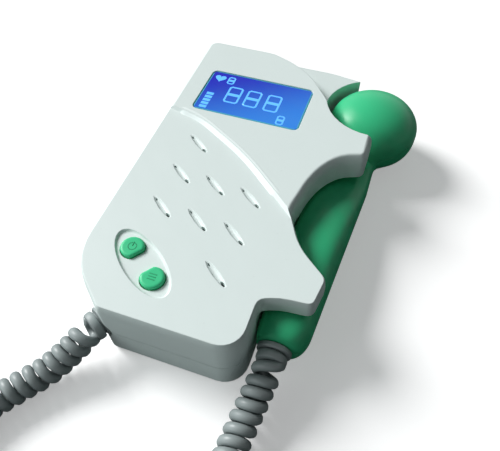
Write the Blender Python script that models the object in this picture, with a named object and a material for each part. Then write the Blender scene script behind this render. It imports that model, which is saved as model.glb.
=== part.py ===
"""Handheld fetal doppler monitor with its probe in the side holder and a curly cord between them.

The unit lies on its back: +X is the probe's side, +Y the display end, +Z the face. The pieces are drawn in
the unit's own frame, with X = 0 on the middle of the display, and one empty carries them to the middle of
the whole object. All sizes are in metres.
"""
import math

import bmesh
import bpy
from mathutils import Matrix, Vector
from mathutils.geometry import intersect_line_line_2d

MM = 0.001

# Housing
UNIT_LENGTH = 135.4 * MM
UNIT_WIDTH = 61.4 * MM
PARTING_HEIGHT = 12.0 * MM
SIDE_WALL = 2.0 * MM
FLOOR_WALL = 2.2 * MM
TOP_WALL = 2.2 * MM
GAP = 0.3 * MM
OVERRUN = 3.0 * MM
EDGE_INSET = 2.2 * MM
EDGE_DROP = 4.6 * MM
FOOT_ROUND = 1.2 * MM
ARC_SAG = 0.055 * MM
SPEAKER_DROP = 1.2 * MM
STEP_WIDTH = 2.0 * MM
LEDGE_DROP = 5.5 * MM
LEDGE_WALL = 1.5 * MM
LIP_WALL = 0.8 * MM
LIP_HEIGHT = 1.2 * MM

# Holder for the probe
UPPER_ARM_REACH = 18.4 * MM
LOWER_ARM_REACH = 17.2 * MM
NECK_ROOM = 2.7 * MM
TAIL_ROOM = 0.6 * MM
CRADLE_FLOOR = 2.6 * MM
CRADLE_REACH = 13.5 * MM
CRADLE_LIFT = 0.2 * MM
CHANNEL_RELIEF = 0.3 * MM
HEAD_RECESS_GAP = 2.35 * MM

# Probe
HEAD_RADIUS = 17.8 * MM
HEAD_TOP = 12.3 * MM
HEAD_BOTTOM = 12.4 * MM
HEAD_OFFSET = 16.3 * MM
NECK_WIDTH = 21.4 * MM
NECK_HEIGHT = 11.7 * MM
TAIL_WIDTH = 16.4 * MM
TAIL_HEIGHT = 17.2 * MM
TAIL_ROUND = 7.0 * MM
HANDLE_POWER = 2.5
HEAD_TOP_POWER = 2.0
HEAD_BOTTOM_POWER = 3.0
JOIN_POWER = 16.0
PROBE_WALL = 1.8 * MM
FACE_RADIUS = 12.5 * MM
FACE_DEPTH = 2.1 * MM
CRYSTAL_RADIUS = 8.5 * MM
CRYSTAL_DEPTH = 1.6 * MM
HOLDER_WALL = 1.2 * MM
HOLDER_HEIGHT = 4.2 * MM

# Display
WINDOW_WIDTH = 42.6 * MM
WINDOW_LENGTH = 24.6 * MM
WINDOW_MARGIN = 21.1 * MM
WINDOW_ROUND = 2.0 * MM
WINDOW_DEPTH = 1.2 * MM
GLASS_DEPTH = 1.8 * MM
DISPLAY_MARGIN = 1.6 * MM

# Board
BOARD_DEPTH = 1.6 * MM
BOARD_DROP = 5.6 * MM
BOARD_ROOM = 2.0 * MM
SWITCH_SIZE = 6.0 * MM
SWITCH_HEIGHT = 1.2 * MM

# Buttons in their dish
BUTTON_RADIUS = 3.85 * MM
BUTTON_FLAT = 3.1 * MM
BUTTON_TRAVEL = 0.8 * MM
BUTTON_CROWN = 0.5 * MM
BUTTON_FLANGE = 0.8 * MM
BUTTON_FLANGE_DEPTH = 0.7 * MM
BUTTON_TILT = math.radians(-37)
BUTTON_SPACING = 13.5 * MM
DISH_LENGTH = 29.5 * MM
DISH_WIDTH = 12.4 * MM
DISH_DEPTH = 0.8 * MM
DISH_SLOPE = 0.9 * MM
STEM_RADIUS = 1.6 * MM

# Speaker slots
SLOT_LENGTH = 12.0 * MM
SLOT_WIDTH = 2.3 * MM
SLOT_DEPTH = 0.75 * MM
SLOT_TILT = math.radians(-38)
SLOT_HOLE_LENGTH = 2.5 * MM
SLOT_HOLE_WIDTH = 1.0 * MM
SLOT_PITCH_X = 13.3 * MM
SLOT_PITCH_Y = 15.9 * MM
SLOT_ROW_FALL = 1.4 * MM

# Speaker
SPEAKER_RADIUS = 18.0 * MM
SPEAKER_DEPTH = 8.2 * MM
SPEAKER_RIM = 1.6 * MM
SPEAKER_RIM_DEPTH = 1.2 * MM
MAGNET_RADIUS = 9.5 * MM
MAGNET_DEPTH = 5.4 * MM

# Battery bay
CELL_RADIUS = 7.25 * MM
CELL_LENGTH = 50.5 * MM
CELL_TIP_RADIUS = 2.7 * MM
CELL_TIP_LENGTH = 1.0 * MM
BAY_MARGIN = 4.75 * MM
BAY_WALL = 1.2 * MM
CONTACT_DEPTH = 0.6 * MM
SPRING_ROOM = 2.6 * MM
DOOR_DEPTH = 1.6 * MM
DOOR_RAIL = 1.2 * MM
DOOR_RAIL_DEPTH = 0.7 * MM
DOOR_LIP_HEIGHT = 6.0 * MM
DOOR_RISE = 0.2 * MM
GRIP_RIB_COUNT = 5
GRIP_RIB_WIDTH = 0.9 * MM
GRIP_RIB_PITCH = 2.4 * MM
GRIP_RIB_LENGTH = 14.0 * MM
GRIP_RIB_DEPTH = 0.5 * MM

# Screws
BOSS_RADIUS = 3.1 * MM
SCREW_RADIUS = 1.3 * MM
SCREW_HEAD_RADIUS = 2.5 * MM
SCREW_HEAD_DEPTH = 1.8 * MM
SCREW_LENGTH = 15.0 * MM
SCREW_SINK = 2.4 * MM
SCREW_RECESS = 0.9 * MM

# Volume wheel and earphone socket in the left wall
WHEEL_RADIUS = 8.0 * MM
WHEEL_DEPTH = 2.8 * MM
WHEEL_SHOW = 1.2 * MM
WHEEL_PLACE = -12.0 * MM
WHEEL_TEETH = 26
WHEEL_TOOTH = 0.35 * MM
PIVOT_RADIUS = 1.4 * MM
POT_SIZE = 9.0 * MM
POT_DEPTH = 1.5 * MM
SOCKET_PLACE = -31.0 * MM
SOCKET_RADIUS = 2.9 * MM
SOCKET_BORE = 1.75 * MM
SOCKET_LENGTH = 11.0 * MM
SOCKET_ROOM = 0.7 * MM

# Curly cord with its bush and collar
WIRE = 3.0 * MM
COIL_RADIUS = 3.3 * MM
TURN_GAP = 0.48 * MM
END_STRETCH = 1.2
POINTS_PER_CURL = 8
BUSH_RADIUS = 5.1 * MM
BUSH_SHOW = 1.0 * MM
BUSH_SINK = 0.6 * MM
BUSH_NECK_RADIUS = 3.1 * MM
BUSH_INSIDE = 4.2 * MM
COLLAR_RADIUS = 5.5 * MM
COLLAR_SHIFT = -1.1 * MM
COLLAR_SHOW = 1.6 * MM
COLLAR_NECK_RADIUS = 3.3 * MM
COLLAR_INSIDE = 3.6 * MM
CORD_LEVEL = COIL_RADIUS + WIRE / 2 + GAP

HALF_LENGTH = UNIT_LENGTH / 2
HALF_WIDTH = UNIT_WIDTH / 2
DOOR_TOP = DOOR_RISE + DOOR_DEPTH
CELL_LEVEL = max(DOOR_TOP, FLOOR_WALL) + GAP + CELL_RADIUS
# The height is what the cells, the board, the room for the display and the walls add up to
BOARD_LEVEL = CELL_LEVEL + CELL_RADIUS + BOARD_ROOM
CEILING = BOARD_LEVEL + BOARD_DROP
SPEAKER_LEVEL = CEILING + TOP_WALL
UNIT_HEIGHT = SPEAKER_LEVEL + SPEAKER_DROP
LEDGE_LEVEL = UNIT_HEIGHT - LEDGE_DROP
DISH_LEVEL = SPEAKER_LEVEL - DISH_DEPTH
WHEEL_LEVEL = BOARD_LEVEL - POT_DEPTH - 3 * GAP - WHEEL_DEPTH
SOCKET_LEVEL = BOARD_LEVEL - SOCKET_ROOM - SOCKET_RADIUS
WINDOW_PLACE = HALF_LENGTH - WINDOW_MARGIN - WINDOW_LENGTH / 2
LEDGE_CEILING = max(LEDGE_LEVEL - TOP_WALL, BOARD_LEVEL + BOARD_DEPTH + GAP)
PROBE_FLOOR = CRADLE_FLOOR + GAP
UPPER_ARM_LEVEL = PROBE_FLOOR + NECK_HEIGHT + NECK_ROOM
LOWER_ARM_LEVEL = PROBE_FLOOR + TAIL_HEIGHT + TAIL_ROOM
# Places along the probe as shares of the housing's half length
HEAD_PLACE_SHARE = 0.7134
NECK_PLACE_SHARE = 0.2363
TAIL_PLACE_SHARE = -0.8272
HEAD_CENTRE = Vector((HALF_WIDTH + HEAD_OFFSET, HALF_LENGTH * HEAD_PLACE_SHARE, 0.0))
NECK_PLACE = HALF_LENGTH * NECK_PLACE_SHARE
TAIL_PLACE = HALF_LENGTH * TAIL_PLACE_SHARE
RECESS_RADIUS = HEAD_RADIUS + HEAD_RECESS_GAP
CHANNEL_WALL = HALF_WIDTH - CHANNEL_RELIEF
HANDLE_LEFT = CHANNEL_WALL + GAP
HEAD_LEVEL = PROBE_FLOOR + HEAD_BOTTOM
UNIT_SHIFT = (HALF_WIDTH * 1.023 - HEAD_CENTRE.x - HEAD_RADIUS) / 2

# Outline of the housing as shares of its half width and half length, with corner radii as shares of the
# half width, from the near end counter-clockwise.
NEAR_CORNER_SHARES = ((-0.44, -1.0, 0.10), (1.0, -1.0, 0.26))
LOWER_ARM_SHARES = ((0.0, -0.738, 0.08), (0.32, -0.707, 0.60), (0.905, -0.694, 0.09), (0.995, -0.535, 0.12),
                    (0.34, -0.40, 0.80), (0.0, -0.232, 0.05))
UPPER_ARM_SHARES = ((0.0, -0.190, 0.30), (0.049, -0.118, 0.80), (0.103, -0.030, 0.80), (0.201, 0.059, 0.80),
                    (0.353, 0.142, 0.80), (0.590, 0.212, 0.80), (0.985, 0.250, 0.10), (1.0, 0.60, 0.0))
FAR_CORNER_SHARES = ((0.80, 1.0, 1.0), (-1.023, 1.0, 0.15))
LEFT_CORNER_SHARES = ((-0.945, -0.80, 1.41),)
# Edge of the raised display panel, as shares of the half width and half length
PANEL_EDGE_SHARES = ((-0.29, 1.009, 0.0), (0.472, 0.886, 1.5), (0.993, 0.576, 0.0))
STEP_SHARES = ((-1.17, 0.344, 0.0), (-0.489, 0.275, 1.3), (0.26, 0.071, 3.5), (1.12, -0.272, 0.0))
# Columns and rows of the speaker slots, counted from the middle one
SLOT_CELLS = ((-1, 1), (-1, 0), (0, 0), (1, 0), (-1, -1), (0, -1), (1, -1), (1, -2))
SLOT_CENTRE_SHARES = (0.0635, -0.1817)
SPEAKER_CENTRE_SHARES = (0.05, -0.295)
DISH_CENTRE_SHARES = (-0.25, -0.722)
BOSS_SHARES = ((-0.68, -0.735), (0.81, -0.905), (-0.83, 0.90), (0.79, 0.91))
BOARD_SHARES = ((-0.29, -0.90), (0.64, -0.90), (0.64, -0.83), (0.80, -0.83), (0.80, 0.83), (-0.82, 0.83),
                (-0.82, -0.59), (-0.50, -0.715), (-0.50, -0.77))
CRADLE_SHARES = ((-0.2, -0.68, 0.0), (0.95, -0.68, 0.3), (1.0, 0.05, 0.3), (0.80, 0.32, 0.3),
                 (-0.2, 0.42, 0.0))
# A place inside the left corner and the turn of the cord's way out from there
BUSH_SHARES = (-0.398, -0.849)
BUSH_TURN = math.radians(241)
# The cord's route to the probe's collar, chosen by hand; the last number is the lift above lying flat
CORD_ROUTE = ((-21.8, -75.4, 3.9), (-26.9, -83.2, 0.9), (-32.8, -90.6, 0.0), (-38.2, -98.6, 0.0),
              (-42.0, -109.0, 0.0), (-42.4, -123.0, 0.0), (-38.0, -138.0, 0.0), (-27.5, -150.5, 0.0),
              (-12.5, -158.0, 0.0), (4.5, -158.5, 0.0), (19.5, -152.0, 0.0), (30.0, -139.5, 0.0),
              (34.0, -123.0, 0.0), (34.0, -105.0, 0.0), (34.4, -90.0, 0.0), (35.3, -79.6, 0.6),
              (36.6, -70.5, 3.6))

MINT = (0.78, 0.86, 0.84, 1.0)
GREEN = (0.10, 0.66, 0.36, 1.0)
GREY = (0.28, 0.32, 0.32, 1.0)
BLUE = (0.03, 0.13, 0.75, 1.0)
DARK = (0.03, 0.03, 0.035, 1.0)
STEEL = (0.62, 0.62, 0.62, 1.0)
BOARD_GREEN = (0.02, 0.20, 0.08, 1.0)
CREAM = (0.72, 0.70, 0.62, 1.0)
CELL_BLUE = (0.10, 0.16, 0.30, 1.0)


def clear_scene():
    """Removes every object and the collections that held them."""
    for old in list(bpy.data.objects):
        bpy.data.objects.remove(old, do_unlink=True)
    for old in list(bpy.data.collections):
        bpy.data.collections.remove(old)


def make_collection(name):
    """Adds a collection to the scene."""
    group = bpy.data.collections.new(name)
    bpy.context.scene.collection.children.link(group)
    return group


clear_scene()
PARTS = make_collection("fetal_doppler_monitor")
CUTTERS = make_collection("cutters")
ORIGIN = bpy.data.objects.new("unit_frame", None)
ORIGIN.location = (UNIT_SHIFT, 0.0, 0.0)
PARTS.objects.link(ORIGIN)


def add_part(name, mesh, colour, roughness, metallic=0.0, place=(0.0, 0.0, 0.0)):
    """Links one sub-part to the unit's frame, with a finish of its own; place is its origin."""
    part = bpy.data.objects.new(name, mesh)
    part.parent = ORIGIN
    part.location = place
    finish = bpy.data.materials.new(name + "_finish")
    finish.use_nodes = True
    shader = finish.node_tree.nodes["Principled BSDF"]
    shader.inputs["Base Color"].default_value = colour
    shader.inputs["Roughness"].default_value = roughness
    shader.inputs["Metallic"].default_value = metallic
    mesh.materials.append(finish)
    PARTS.objects.link(part)
    return part


def add_cutter(name, mesh, place=(0.0, 0.0, 0.0)):
    """Links a helper solid that cuts or joins a part and is no part itself."""
    cutter = bpy.data.objects.new(name, mesh)
    cutter.parent = ORIGIN
    cutter.location = place
    cutter.hide_render = True
    cutter.display_type = "WIRE"
    CUTTERS.objects.link(cutter)
    return cutter


def combine(part, other, operation):
    """Adds a Boolean with a helper solid to a part."""
    step = part.modifiers.new(operation.lower() + "_" + other.name, "BOOLEAN")
    step.operation = operation
    step.solver = "EXACT"
    step.object = other


def cut(part, *others):
    """Cuts helper solids out of a part, in order."""
    for other in others:
        combine(part, other, "DIFFERENCE")


def join(part, *others):
    """Joins helper solids to a part, in order."""
    for other in others:
        combine(part, other, "UNION")


def shade(mesh):
    """Shades round walls smooth and keeps crisp edges."""
    mesh.shade_smooth()
    mesh.set_sharp_from_angle(angle=math.radians(32))


def finish_mesh(bm, name):
    """Turns a bmesh into a mesh whose faces point out."""
    bmesh.ops.recalc_face_normals(bm, faces=bm.faces)
    mesh = bpy.data.meshes.new(name)
    bm.to_mesh(mesh)
    bm.free()
    shade(mesh)
    return mesh


def rounded(corners):
    """Returns an outline whose corners (x, y, radius) are arcs; a radius is limited by its two edges."""
    points = []
    count = len(corners)
    for index, (x, y, radius) in enumerate(corners):
        here = Vector((x, y))
        back = Vector(corners[index - 1][:2]) - here
        ahead = Vector(corners[(index + 1) % count][:2]) - here
        spread = back.angle(ahead)
        reach = radius / math.tan(spread / 2)
        limit = min(back.length, ahead.length) * 0.49
        if reach > limit:
            reach = limit
            radius = reach * math.tan(spread / 2)
        if radius < GAP:
            points.append(here)
            continue
        centre = here + (back.normalized() + ahead.normalized()).normalized() * (radius / math.sin(spread / 2))
        start = here + back.normalized() * reach - centre
        end = here + ahead.normalized() * reach - centre
        turn = start.angle_signed(end)
        steps = max(2, math.ceil(abs(turn) / (2 * math.acos(1 - ARC_SAG / radius))))
        for step in range(steps + 1):
            points.append(centre + Matrix.Rotation(-turn * step / steps, 2) @ start)
    return points


def shared(table, width=HALF_WIDTH, length=HALF_LENGTH, across=0.0):
    """Turns a table of shares into corners; across is where the shares of width start."""
    return [(across + x * width, y * length, radius * HALF_WIDTH) for x, y, radius in table]


def circle(radius, steps, centre=(0.0, 0.0)):
    """Returns the points of a circle."""
    angles = [math.tau * step / steps for step in range(steps)]
    return [Vector((centre[0] + radius * math.cos(a), centre[1] + radius * math.sin(a))) for a in angles]


def crown(bm, cap, inset, drop, rings):
    """Draws a flat end face in and on along a quarter ellipse, which rounds its edge."""
    before = 0.0
    level = 0.0
    for ring in range(1, rings + 1):
        angle = math.pi / 2 * ring / rings
        width = inset * (1 - math.cos(angle))
        height = drop * math.sin(angle)
        bmesh.ops.inset_region(bm, faces=[cap], thickness=width - before, use_even_offset=True)
        bmesh.ops.translate(bm, verts=cap.verts, vec=cap.normal * (height - level))
        before = width
        level = height


def prism(name, outline, low, high, top=(0.0, 0.0), foot=(0.0, 0.0), rings=3):
    """Extrudes an outline from low to high; top and foot are the (inset, drop) of its rounded edges."""
    bm = bmesh.new()
    base = bm.faces.new([bm.verts.new((p.x, p.y, low + foot[1])) for p in outline])
    lifted = bmesh.ops.extrude_face_region(bm, geom=[base])
    raised = [item for item in lifted["geom"] if isinstance(item, bmesh.types.BMVert)]
    bmesh.ops.translate(bm, verts=raised, vec=(0.0, 0.0, high - top[1] - low - foot[1]))
    bmesh.ops.recalc_face_normals(bm, faces=bm.faces)
    lid = next(face for face in bm.faces if face.normal.z > 0.9)
    bottom = next(face for face in bm.faces if face.normal.z < -0.9)
    if top[0] > 0:
        crown(bm, lid, top[0], top[1], rings)
    if foot[0] > 0:
        crown(bm, bottom, foot[0], foot[1], rings)
    return finish_mesh(bm, name)


def block(name, low, high):
    """Returns a box between two corners."""
    bm = bmesh.new()
    size = [b - a for a, b in zip(low, high)]
    middle = [(a + b) / 2 for a, b in zip(low, high)]
    bmesh.ops.create_cube(bm, size=1.0, matrix=Matrix.Translation(middle) @ Matrix.Diagonal((*size, 1.0)))
    return finish_mesh(bm, name)


def rod(name, radius, low, high, steps=20, centre=(0.0, 0.0)):
    """Returns an upright cylinder between two levels."""
    return prism(name, circle(radius, steps, centre), low, high)


def turned(name, profile, steps=24):
    """Returns a part of revolution about Z from a closed profile of (radius, height) points."""
    bm = bmesh.new()
    verts = [bm.verts.new((radius, 0.0, height)) for radius, height in profile]
    pairs = [(i - 1, i) for i in range(len(verts)) if profile[i - 1][0] > 0 or profile[i][0] > 0]
    edges = [bm.edges.new((verts[a], verts[b])) for a, b in pairs]
    bmesh.ops.spin(bm, geom=verts + edges, axis=(0.0, 0.0, 1.0), cent=(0.0, 0.0, 0.0), steps=steps,
                   angle=math.tau, use_merge=True)
    bmesh.ops.remove_doubles(bm, verts=bm.verts, dist=GAP / 100)
    return finish_mesh(bm, name)


def moved(mesh, matrix):
    """Places a mesh by a matrix."""
    mesh.transform(matrix)
    return mesh


def gathered(name, meshes):
    """Gathers several meshes into one helper mesh."""
    bm = bmesh.new()
    for mesh in meshes:
        bm.from_mesh(mesh)
        bpy.data.meshes.remove(mesh)
    return finish_mesh(bm, name)


def share_place(shares):
    """Turns one pair of shares into a place on the unit."""
    return Vector((shares[0] * HALF_WIDTH, shares[1] * HALF_LENGTH))


BUTTON_DIRECTION = Vector((math.cos(BUTTON_TILT), math.sin(BUTTON_TILT)))
DISH_CENTRE = share_place(DISH_CENTRE_SHARES)
BUTTON_PLACES = {"power": DISH_CENTRE - BUTTON_DIRECTION * BUTTON_SPACING / 2,
                 "mode": DISH_CENTRE + BUTTON_DIRECTION * BUTTON_SPACING / 2}
BOSS_PLACES = [share_place(shares) for shares in BOSS_SHARES]
SPEAKER_CENTRE = share_place(SPEAKER_CENTRE_SHARES)
BAY_HALF_WIDTH = 2 * CELL_RADIUS + 3 * GAP / 2 + BAY_WALL
BAY_HALF_LENGTH = CELL_LENGTH / 2 + SPRING_ROOM / 2 + 2 * GAP + CONTACT_DEPTH + BAY_WALL
BAY_PLACE = HALF_LENGTH - BAY_MARGIN - BAY_HALF_LENGTH
COLLAR_CENTRE = Vector((HANDLE_LEFT + TAIL_WIDTH / 2 + COLLAR_SHIFT, TAIL_PLACE, PROBE_FLOOR + TAIL_HEIGHT / 2))
COLLAR_MATRIX = Matrix.Translation(COLLAR_CENTRE) @ Matrix.Rotation(math.pi / 2, 4, "X")


def housing_corners(arms):
    """Returns the corners of the housing's outline, with or without the two holder arms."""
    corners = shared(NEAR_CORNER_SHARES)
    if arms:
        corners += shared(LOWER_ARM_SHARES, LOWER_ARM_REACH, across=HALF_WIDTH)
        corners += shared(UPPER_ARM_SHARES, UPPER_ARM_REACH, across=HALF_WIDTH)
    else:
        corners.append((HALF_WIDTH, HEAD_CENTRE.y - HEAD_RADIUS / 3, 0.0))
    corners.append((HEAD_CENTRE.x - HEAD_RADIUS / 8, HEAD_CENTRE.y, 0.0))
    corners.append((HEAD_CENTRE.x - HEAD_RADIUS / 8, HALF_LENGTH * 0.957, 0.0))
    corners += shared(FAR_CORNER_SHARES)
    corners += shared(LEFT_CORNER_SHARES)
    return corners


def wall_place(inside, direction):
    """Returns where a ray from a place inside the housing meets its outer wall."""
    outline = rounded(housing_corners(False))
    far = inside + direction * UNIT_LENGTH
    meets = [intersect_line_line_2d(inside, far, outline[i - 1], outline[i]) for i in range(len(outline))]
    return min((place for place in meets if place), key=lambda place: (place - inside).length)


LEFT = Vector((-1.0, 0.0))
WHEEL_CENTRE = wall_place(Vector((0.0, WHEEL_PLACE)), LEFT) - LEFT * (WHEEL_RADIUS - WHEEL_SHOW)
SOCKET_MOUTH = wall_place(Vector((0.0, SOCKET_PLACE)), LEFT)
BUSH_DIRECTION = Vector((math.cos(BUSH_TURN), math.sin(BUSH_TURN)))
BUSH_CENTRE = wall_place(share_place(BUSH_SHARES), BUSH_DIRECTION) - BUSH_DIRECTION * BUSH_SINK
BUSH_FRAME = BUSH_DIRECTION.to_3d().to_track_quat("Z", "Y").to_matrix().to_4x4()
BUSH_MATRIX = Matrix.Translation((*BUSH_CENTRE, PARTING_HEIGHT)) @ BUSH_FRAME


def inner_outline(inset):
    """Returns the outline of the housing's inside at a given distance from its outer wall."""
    far = HALF_LENGTH - inset
    right = HALF_WIDTH - inset
    left_far = FAR_CORNER_SHARES[1][0] * HALF_WIDTH + inset
    left_near = LEFT_CORNER_SHARES[0][0] * HALF_WIDTH + inset
    bend = LEFT_CORNER_SHARES[0][1] * HALF_LENGTH + inset * 0.45
    near = (NEAR_CORNER_SHARES[0][0] * HALF_WIDTH + inset * 0.35, -far)
    corners = [(*near, EDGE_INSET / 2), (right, -far, NEAR_CORNER_SHARES[1][2] * HALF_WIDTH - inset),
               (right, far, EDGE_INSET), (left_far, far, FAR_CORNER_SHARES[1][2] * HALF_WIDTH - inset),
               (left_near, bend, LEFT_CORNER_SHARES[0][2] * HALF_WIDTH - inset)]
    return rounded(corners)


def make_cavity(name, inset, low, high):
    """Makes the helper solid of the space inside the housing, clear of the head's recess."""
    cavity = add_cutter(name, prism(name, inner_outline(inset), low, high))
    pillar_radius = RECESS_RADIUS + inset
    pillar = rod(name + "_pillar", pillar_radius, low - OVERRUN, high + OVERRUN, 40, HEAD_CENTRE)
    cut(cavity, add_cutter(name + "_pillar", pillar))
    return cavity


def make_channel(low):
    """Makes the helper solids of the probe's way out: under the two arms and round the head."""
    far_reach = HEAD_CENTRE.x + HEAD_RADIUS * 2
    split = LOWER_ARM_SHARES[-1][1] * HALF_LENGTH
    near = LOWER_ARM_SHARES[0][1] * HALF_LENGTH - OVERRUN
    far = HEAD_CENTRE.y
    upper = add_cutter("channel_upper", block("channel_upper", (CHANNEL_WALL, near, low),
                                              (far_reach, far - RECESS_RADIUS / 2, UPPER_ARM_LEVEL)))
    lower = add_cutter("channel_lower", block("channel_lower", (CHANNEL_WALL, near, low),
                                              (far_reach, split, LOWER_ARM_LEVEL)))
    recess = add_cutter("head_recess", rod("head_recess", RECESS_RADIUS, low, UNIT_HEIGHT + OVERRUN, 40, HEAD_CENTRE))
    return upper, lower, recess


def bush_hole():
    """Makes the helper solid of the bush's hole in the left corner, with a flat seat round it."""
    hole = add_cutter("bush_hole", moved(rod("bush_hole", BUSH_NECK_RADIUS + GAP, -BUSH_INSIDE - OVERRUN,
                                             OVERRUN, 24), BUSH_MATRIX))
    seat = rod("bush_seat", BUSH_RADIUS + GAP, 0.0, BUSH_SHOW + OVERRUN, 24)
    join(hole, add_cutter("bush_seat", moved(seat, BUSH_MATRIX)))
    return hole


def wheel_slot():
    """Makes the slot in the left wall that the volume wheel shows through."""
    mesh = rod("wheel_slot", WHEEL_RADIUS + GAP, WHEEL_LEVEL - GAP, WHEEL_LEVEL + WHEEL_DEPTH + GAP, 32,
               WHEEL_CENTRE)
    return add_cutter("wheel_slot", mesh)


def socket_matrix():
    """Returns the earphone socket's place, its axis out through the left wall."""
    return Matrix.Translation((*SOCKET_MOUTH, SOCKET_LEVEL)) @ Matrix.Rotation(-math.pi / 2, 4, "Y")


def socket_hole():
    """Makes the round hole for the earphone socket."""
    hole = rod("socket_hole", SOCKET_RADIUS + GAP, -SIDE_WALL - OVERRUN, OVERRUN, 20)
    return add_cutter("socket_hole", moved(hole, socket_matrix()))


CAVITY = make_cavity("housing_cavity", SIDE_WALL, FLOOR_WALL, CEILING)
CHANNEL_UPPER, CHANNEL_LOWER, HEAD_RECESS = make_channel(CRADLE_FLOOR)
BUSH_WAY = bush_hole()
WHEEL_WAY = wheel_slot()
SOCKET_WAY = socket_hole()


def slot_meshes():
    """Returns the eye-shaped speaker slots and their sound holes as cutting meshes."""
    meshes = []
    centre = share_place(SLOT_CENTRE_SHARES)
    for index, (column, row) in enumerate(SLOT_CELLS):
        place = centre + Vector((column * SLOT_PITCH_X, row * SLOT_PITCH_Y - column * SLOT_ROW_FALL))
        spot = Matrix.Translation((*place, SPEAKER_LEVEL)) @ Matrix.Rotation(SLOT_TILT, 4, "Z")
        bm = bmesh.new()
        size = Matrix.Diagonal((SLOT_LENGTH / 2, SLOT_WIDTH / 2, SLOT_DEPTH, 1.0))
        bmesh.ops.create_uvsphere(bm, u_segments=10, v_segments=6, radius=1.0, matrix=spot @ size)
        meshes.append(finish_mesh(bm, f"slot_{index}"))
    return meshes


def slot_hole_meshes():
    """Returns the oval sound hole at each slot's lower end and the small one at its upper end."""
    meshes = []
    centre = share_place(SLOT_CENTRE_SHARES)
    for index, (column, row) in enumerate(SLOT_CELLS):
        place = centre + Vector((column * SLOT_PITCH_X, row * SLOT_PITCH_Y - column * SLOT_ROW_FALL))
        spot = Matrix.Translation((*place, 0.0)) @ Matrix.Rotation(SLOT_TILT, 4, "Z")
        for end, share in ((1, 1.0), (-1, 0.55)):
            hole = prism(f"hole_{index}", circle(0.5, 8), CEILING - OVERRUN, SPEAKER_LEVEL + OVERRUN)
            size = Matrix.Diagonal((SLOT_HOLE_LENGTH * share, SLOT_HOLE_WIDTH * share, 1.0, 1.0))
            shift = Matrix.Translation((end * (SLOT_LENGTH / 2 - SLOT_HOLE_LENGTH * 0.75), 0.0, 0.0))
            meshes.append(moved(hole, spot @ shift @ size))
    return meshes


def button_outline(grow):
    """Returns a button's outline, round with a flatter side towards +X; grow widens it all round."""
    points = []
    for spot in circle(BUTTON_RADIUS + grow, 22):
        points.append(Vector((min(spot.x, BUTTON_FLAT + grow), spot.y)))
    return points


def button_matrix(name):
    """Returns the place of a button, its flat side towards the other one."""
    turn = BUTTON_TILT if name == "power" else BUTTON_TILT + math.pi
    return Matrix.Translation((*BUTTON_PLACES[name], 0.0)) @ Matrix.Rotation(turn, 4, "Z")


def make_front_cover():
    """The upper housing: display panel, lower speaker panel, ledge, two holder arms and screw bosses."""
    outline = rounded(housing_corners(True))
    body = prism("front_cover", outline, PARTING_HEIGHT + GAP / 2, UNIT_HEIGHT, (EDGE_INSET, EDGE_DROP), rings=3)
    cover = add_part("front_cover", body, MINT, 0.45)
    opening = prism("window_opening", window_outline(GAP), CEILING - OVERRUN, UNIT_HEIGHT + OVERRUN)
    cut(cover, add_cutter("window_opening", opening))
    cut(cover, speaker_level(), ledge_level("ledge_level", 0.0, LEDGE_LEVEL))
    cut(cover, cover_cavity(), CHANNEL_UPPER, CHANNEL_LOWER, HEAD_RECESS)
    pilots = [rod("pilot", SCREW_RADIUS + GAP, PARTING_HEIGHT - OVERRUN,
                  SCREW_RECESS + SCREW_HEAD_DEPTH + SCREW_LENGTH + GAP, 12, place) for place in BOSS_PLACES]
    cut(cover, add_cutter("cover_pilots", gathered("cover_pilots", pilots)))
    dish = dish_mesh()
    cut(cover, add_cutter("button_dish", dish))
    holes = [moved(prism("button_hole", button_outline(GAP), CEILING - OVERRUN, SPEAKER_LEVEL + OVERRUN),
                   button_matrix(name)) for name in BUTTON_PLACES]
    cut(cover, add_cutter("button_holes", gathered("button_holes", holes)))
    cut(cover, add_cutter("slots", gathered("slots", slot_meshes())))
    cut(cover, add_cutter("slot_holes", gathered("slot_holes", slot_hole_meshes())))
    cut(cover, BUSH_WAY, WHEEL_WAY, SOCKET_WAY)
    return cover


def speaker_level():
    """Makes the helper solid that lowers the speaker panel, with the sloped band along its edge."""
    step = shared(STEP_SHARES)
    outside = HALF_WIDTH + UPPER_ARM_REACH + OVERRUN
    around = [(outside, step[-1][1], 0.0), (outside, -HALF_LENGTH - OVERRUN, 0.0),
              (-outside, -HALF_LENGTH - OVERRUN, 0.0), (-outside, step[0][1], 0.0)]
    level = prism("speaker_level", rounded(step + around), SPEAKER_LEVEL, UNIT_HEIGHT + SPEAKER_DROP,
                  foot=(STEP_WIDTH, SPEAKER_DROP * 2), rings=1)
    return add_cutter("speaker_level", level)


def ledge_level(name, grow, low):
    """Makes the helper solid of the room above the far ledge; grow widens it towards the display."""
    edge = [(x - grow, y - grow, radius) for x, y, radius in shared(PANEL_EDGE_SHARES)]
    outside = HALF_WIDTH + UPPER_ARM_REACH + OVERRUN
    beyond = [(HEAD_CENTRE.x, HEAD_CENTRE.y - grow, 0.0), (outside, HEAD_CENTRE.y - grow, 0.0),
              (outside, HALF_LENGTH + OVERRUN, 0.0), (edge[0][0], HALF_LENGTH + OVERRUN, 0.0)]
    return add_cutter(name, prism(name, rounded(edge + beyond), low, UNIT_HEIGHT + OVERRUN))


def cover_cavity():
    """Makes the helper solid of the cover's inside, with a lower ceiling below the ledge."""
    cavity = make_cavity("cover_cavity", SIDE_WALL, PARTING_HEIGHT - OVERRUN, CEILING)
    cut(cavity, ledge_level("ledge_ceiling", LEDGE_WALL, LEDGE_CEILING))
    keep = [rod("boss_core", BOSS_RADIUS, PARTING_HEIGHT - OVERRUN, UNIT_HEIGHT, 16, place)
            for place in BOSS_PLACES]
    cut(cavity, add_cutter("boss_cores", gathered("boss_cores", keep)))
    return cavity


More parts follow.
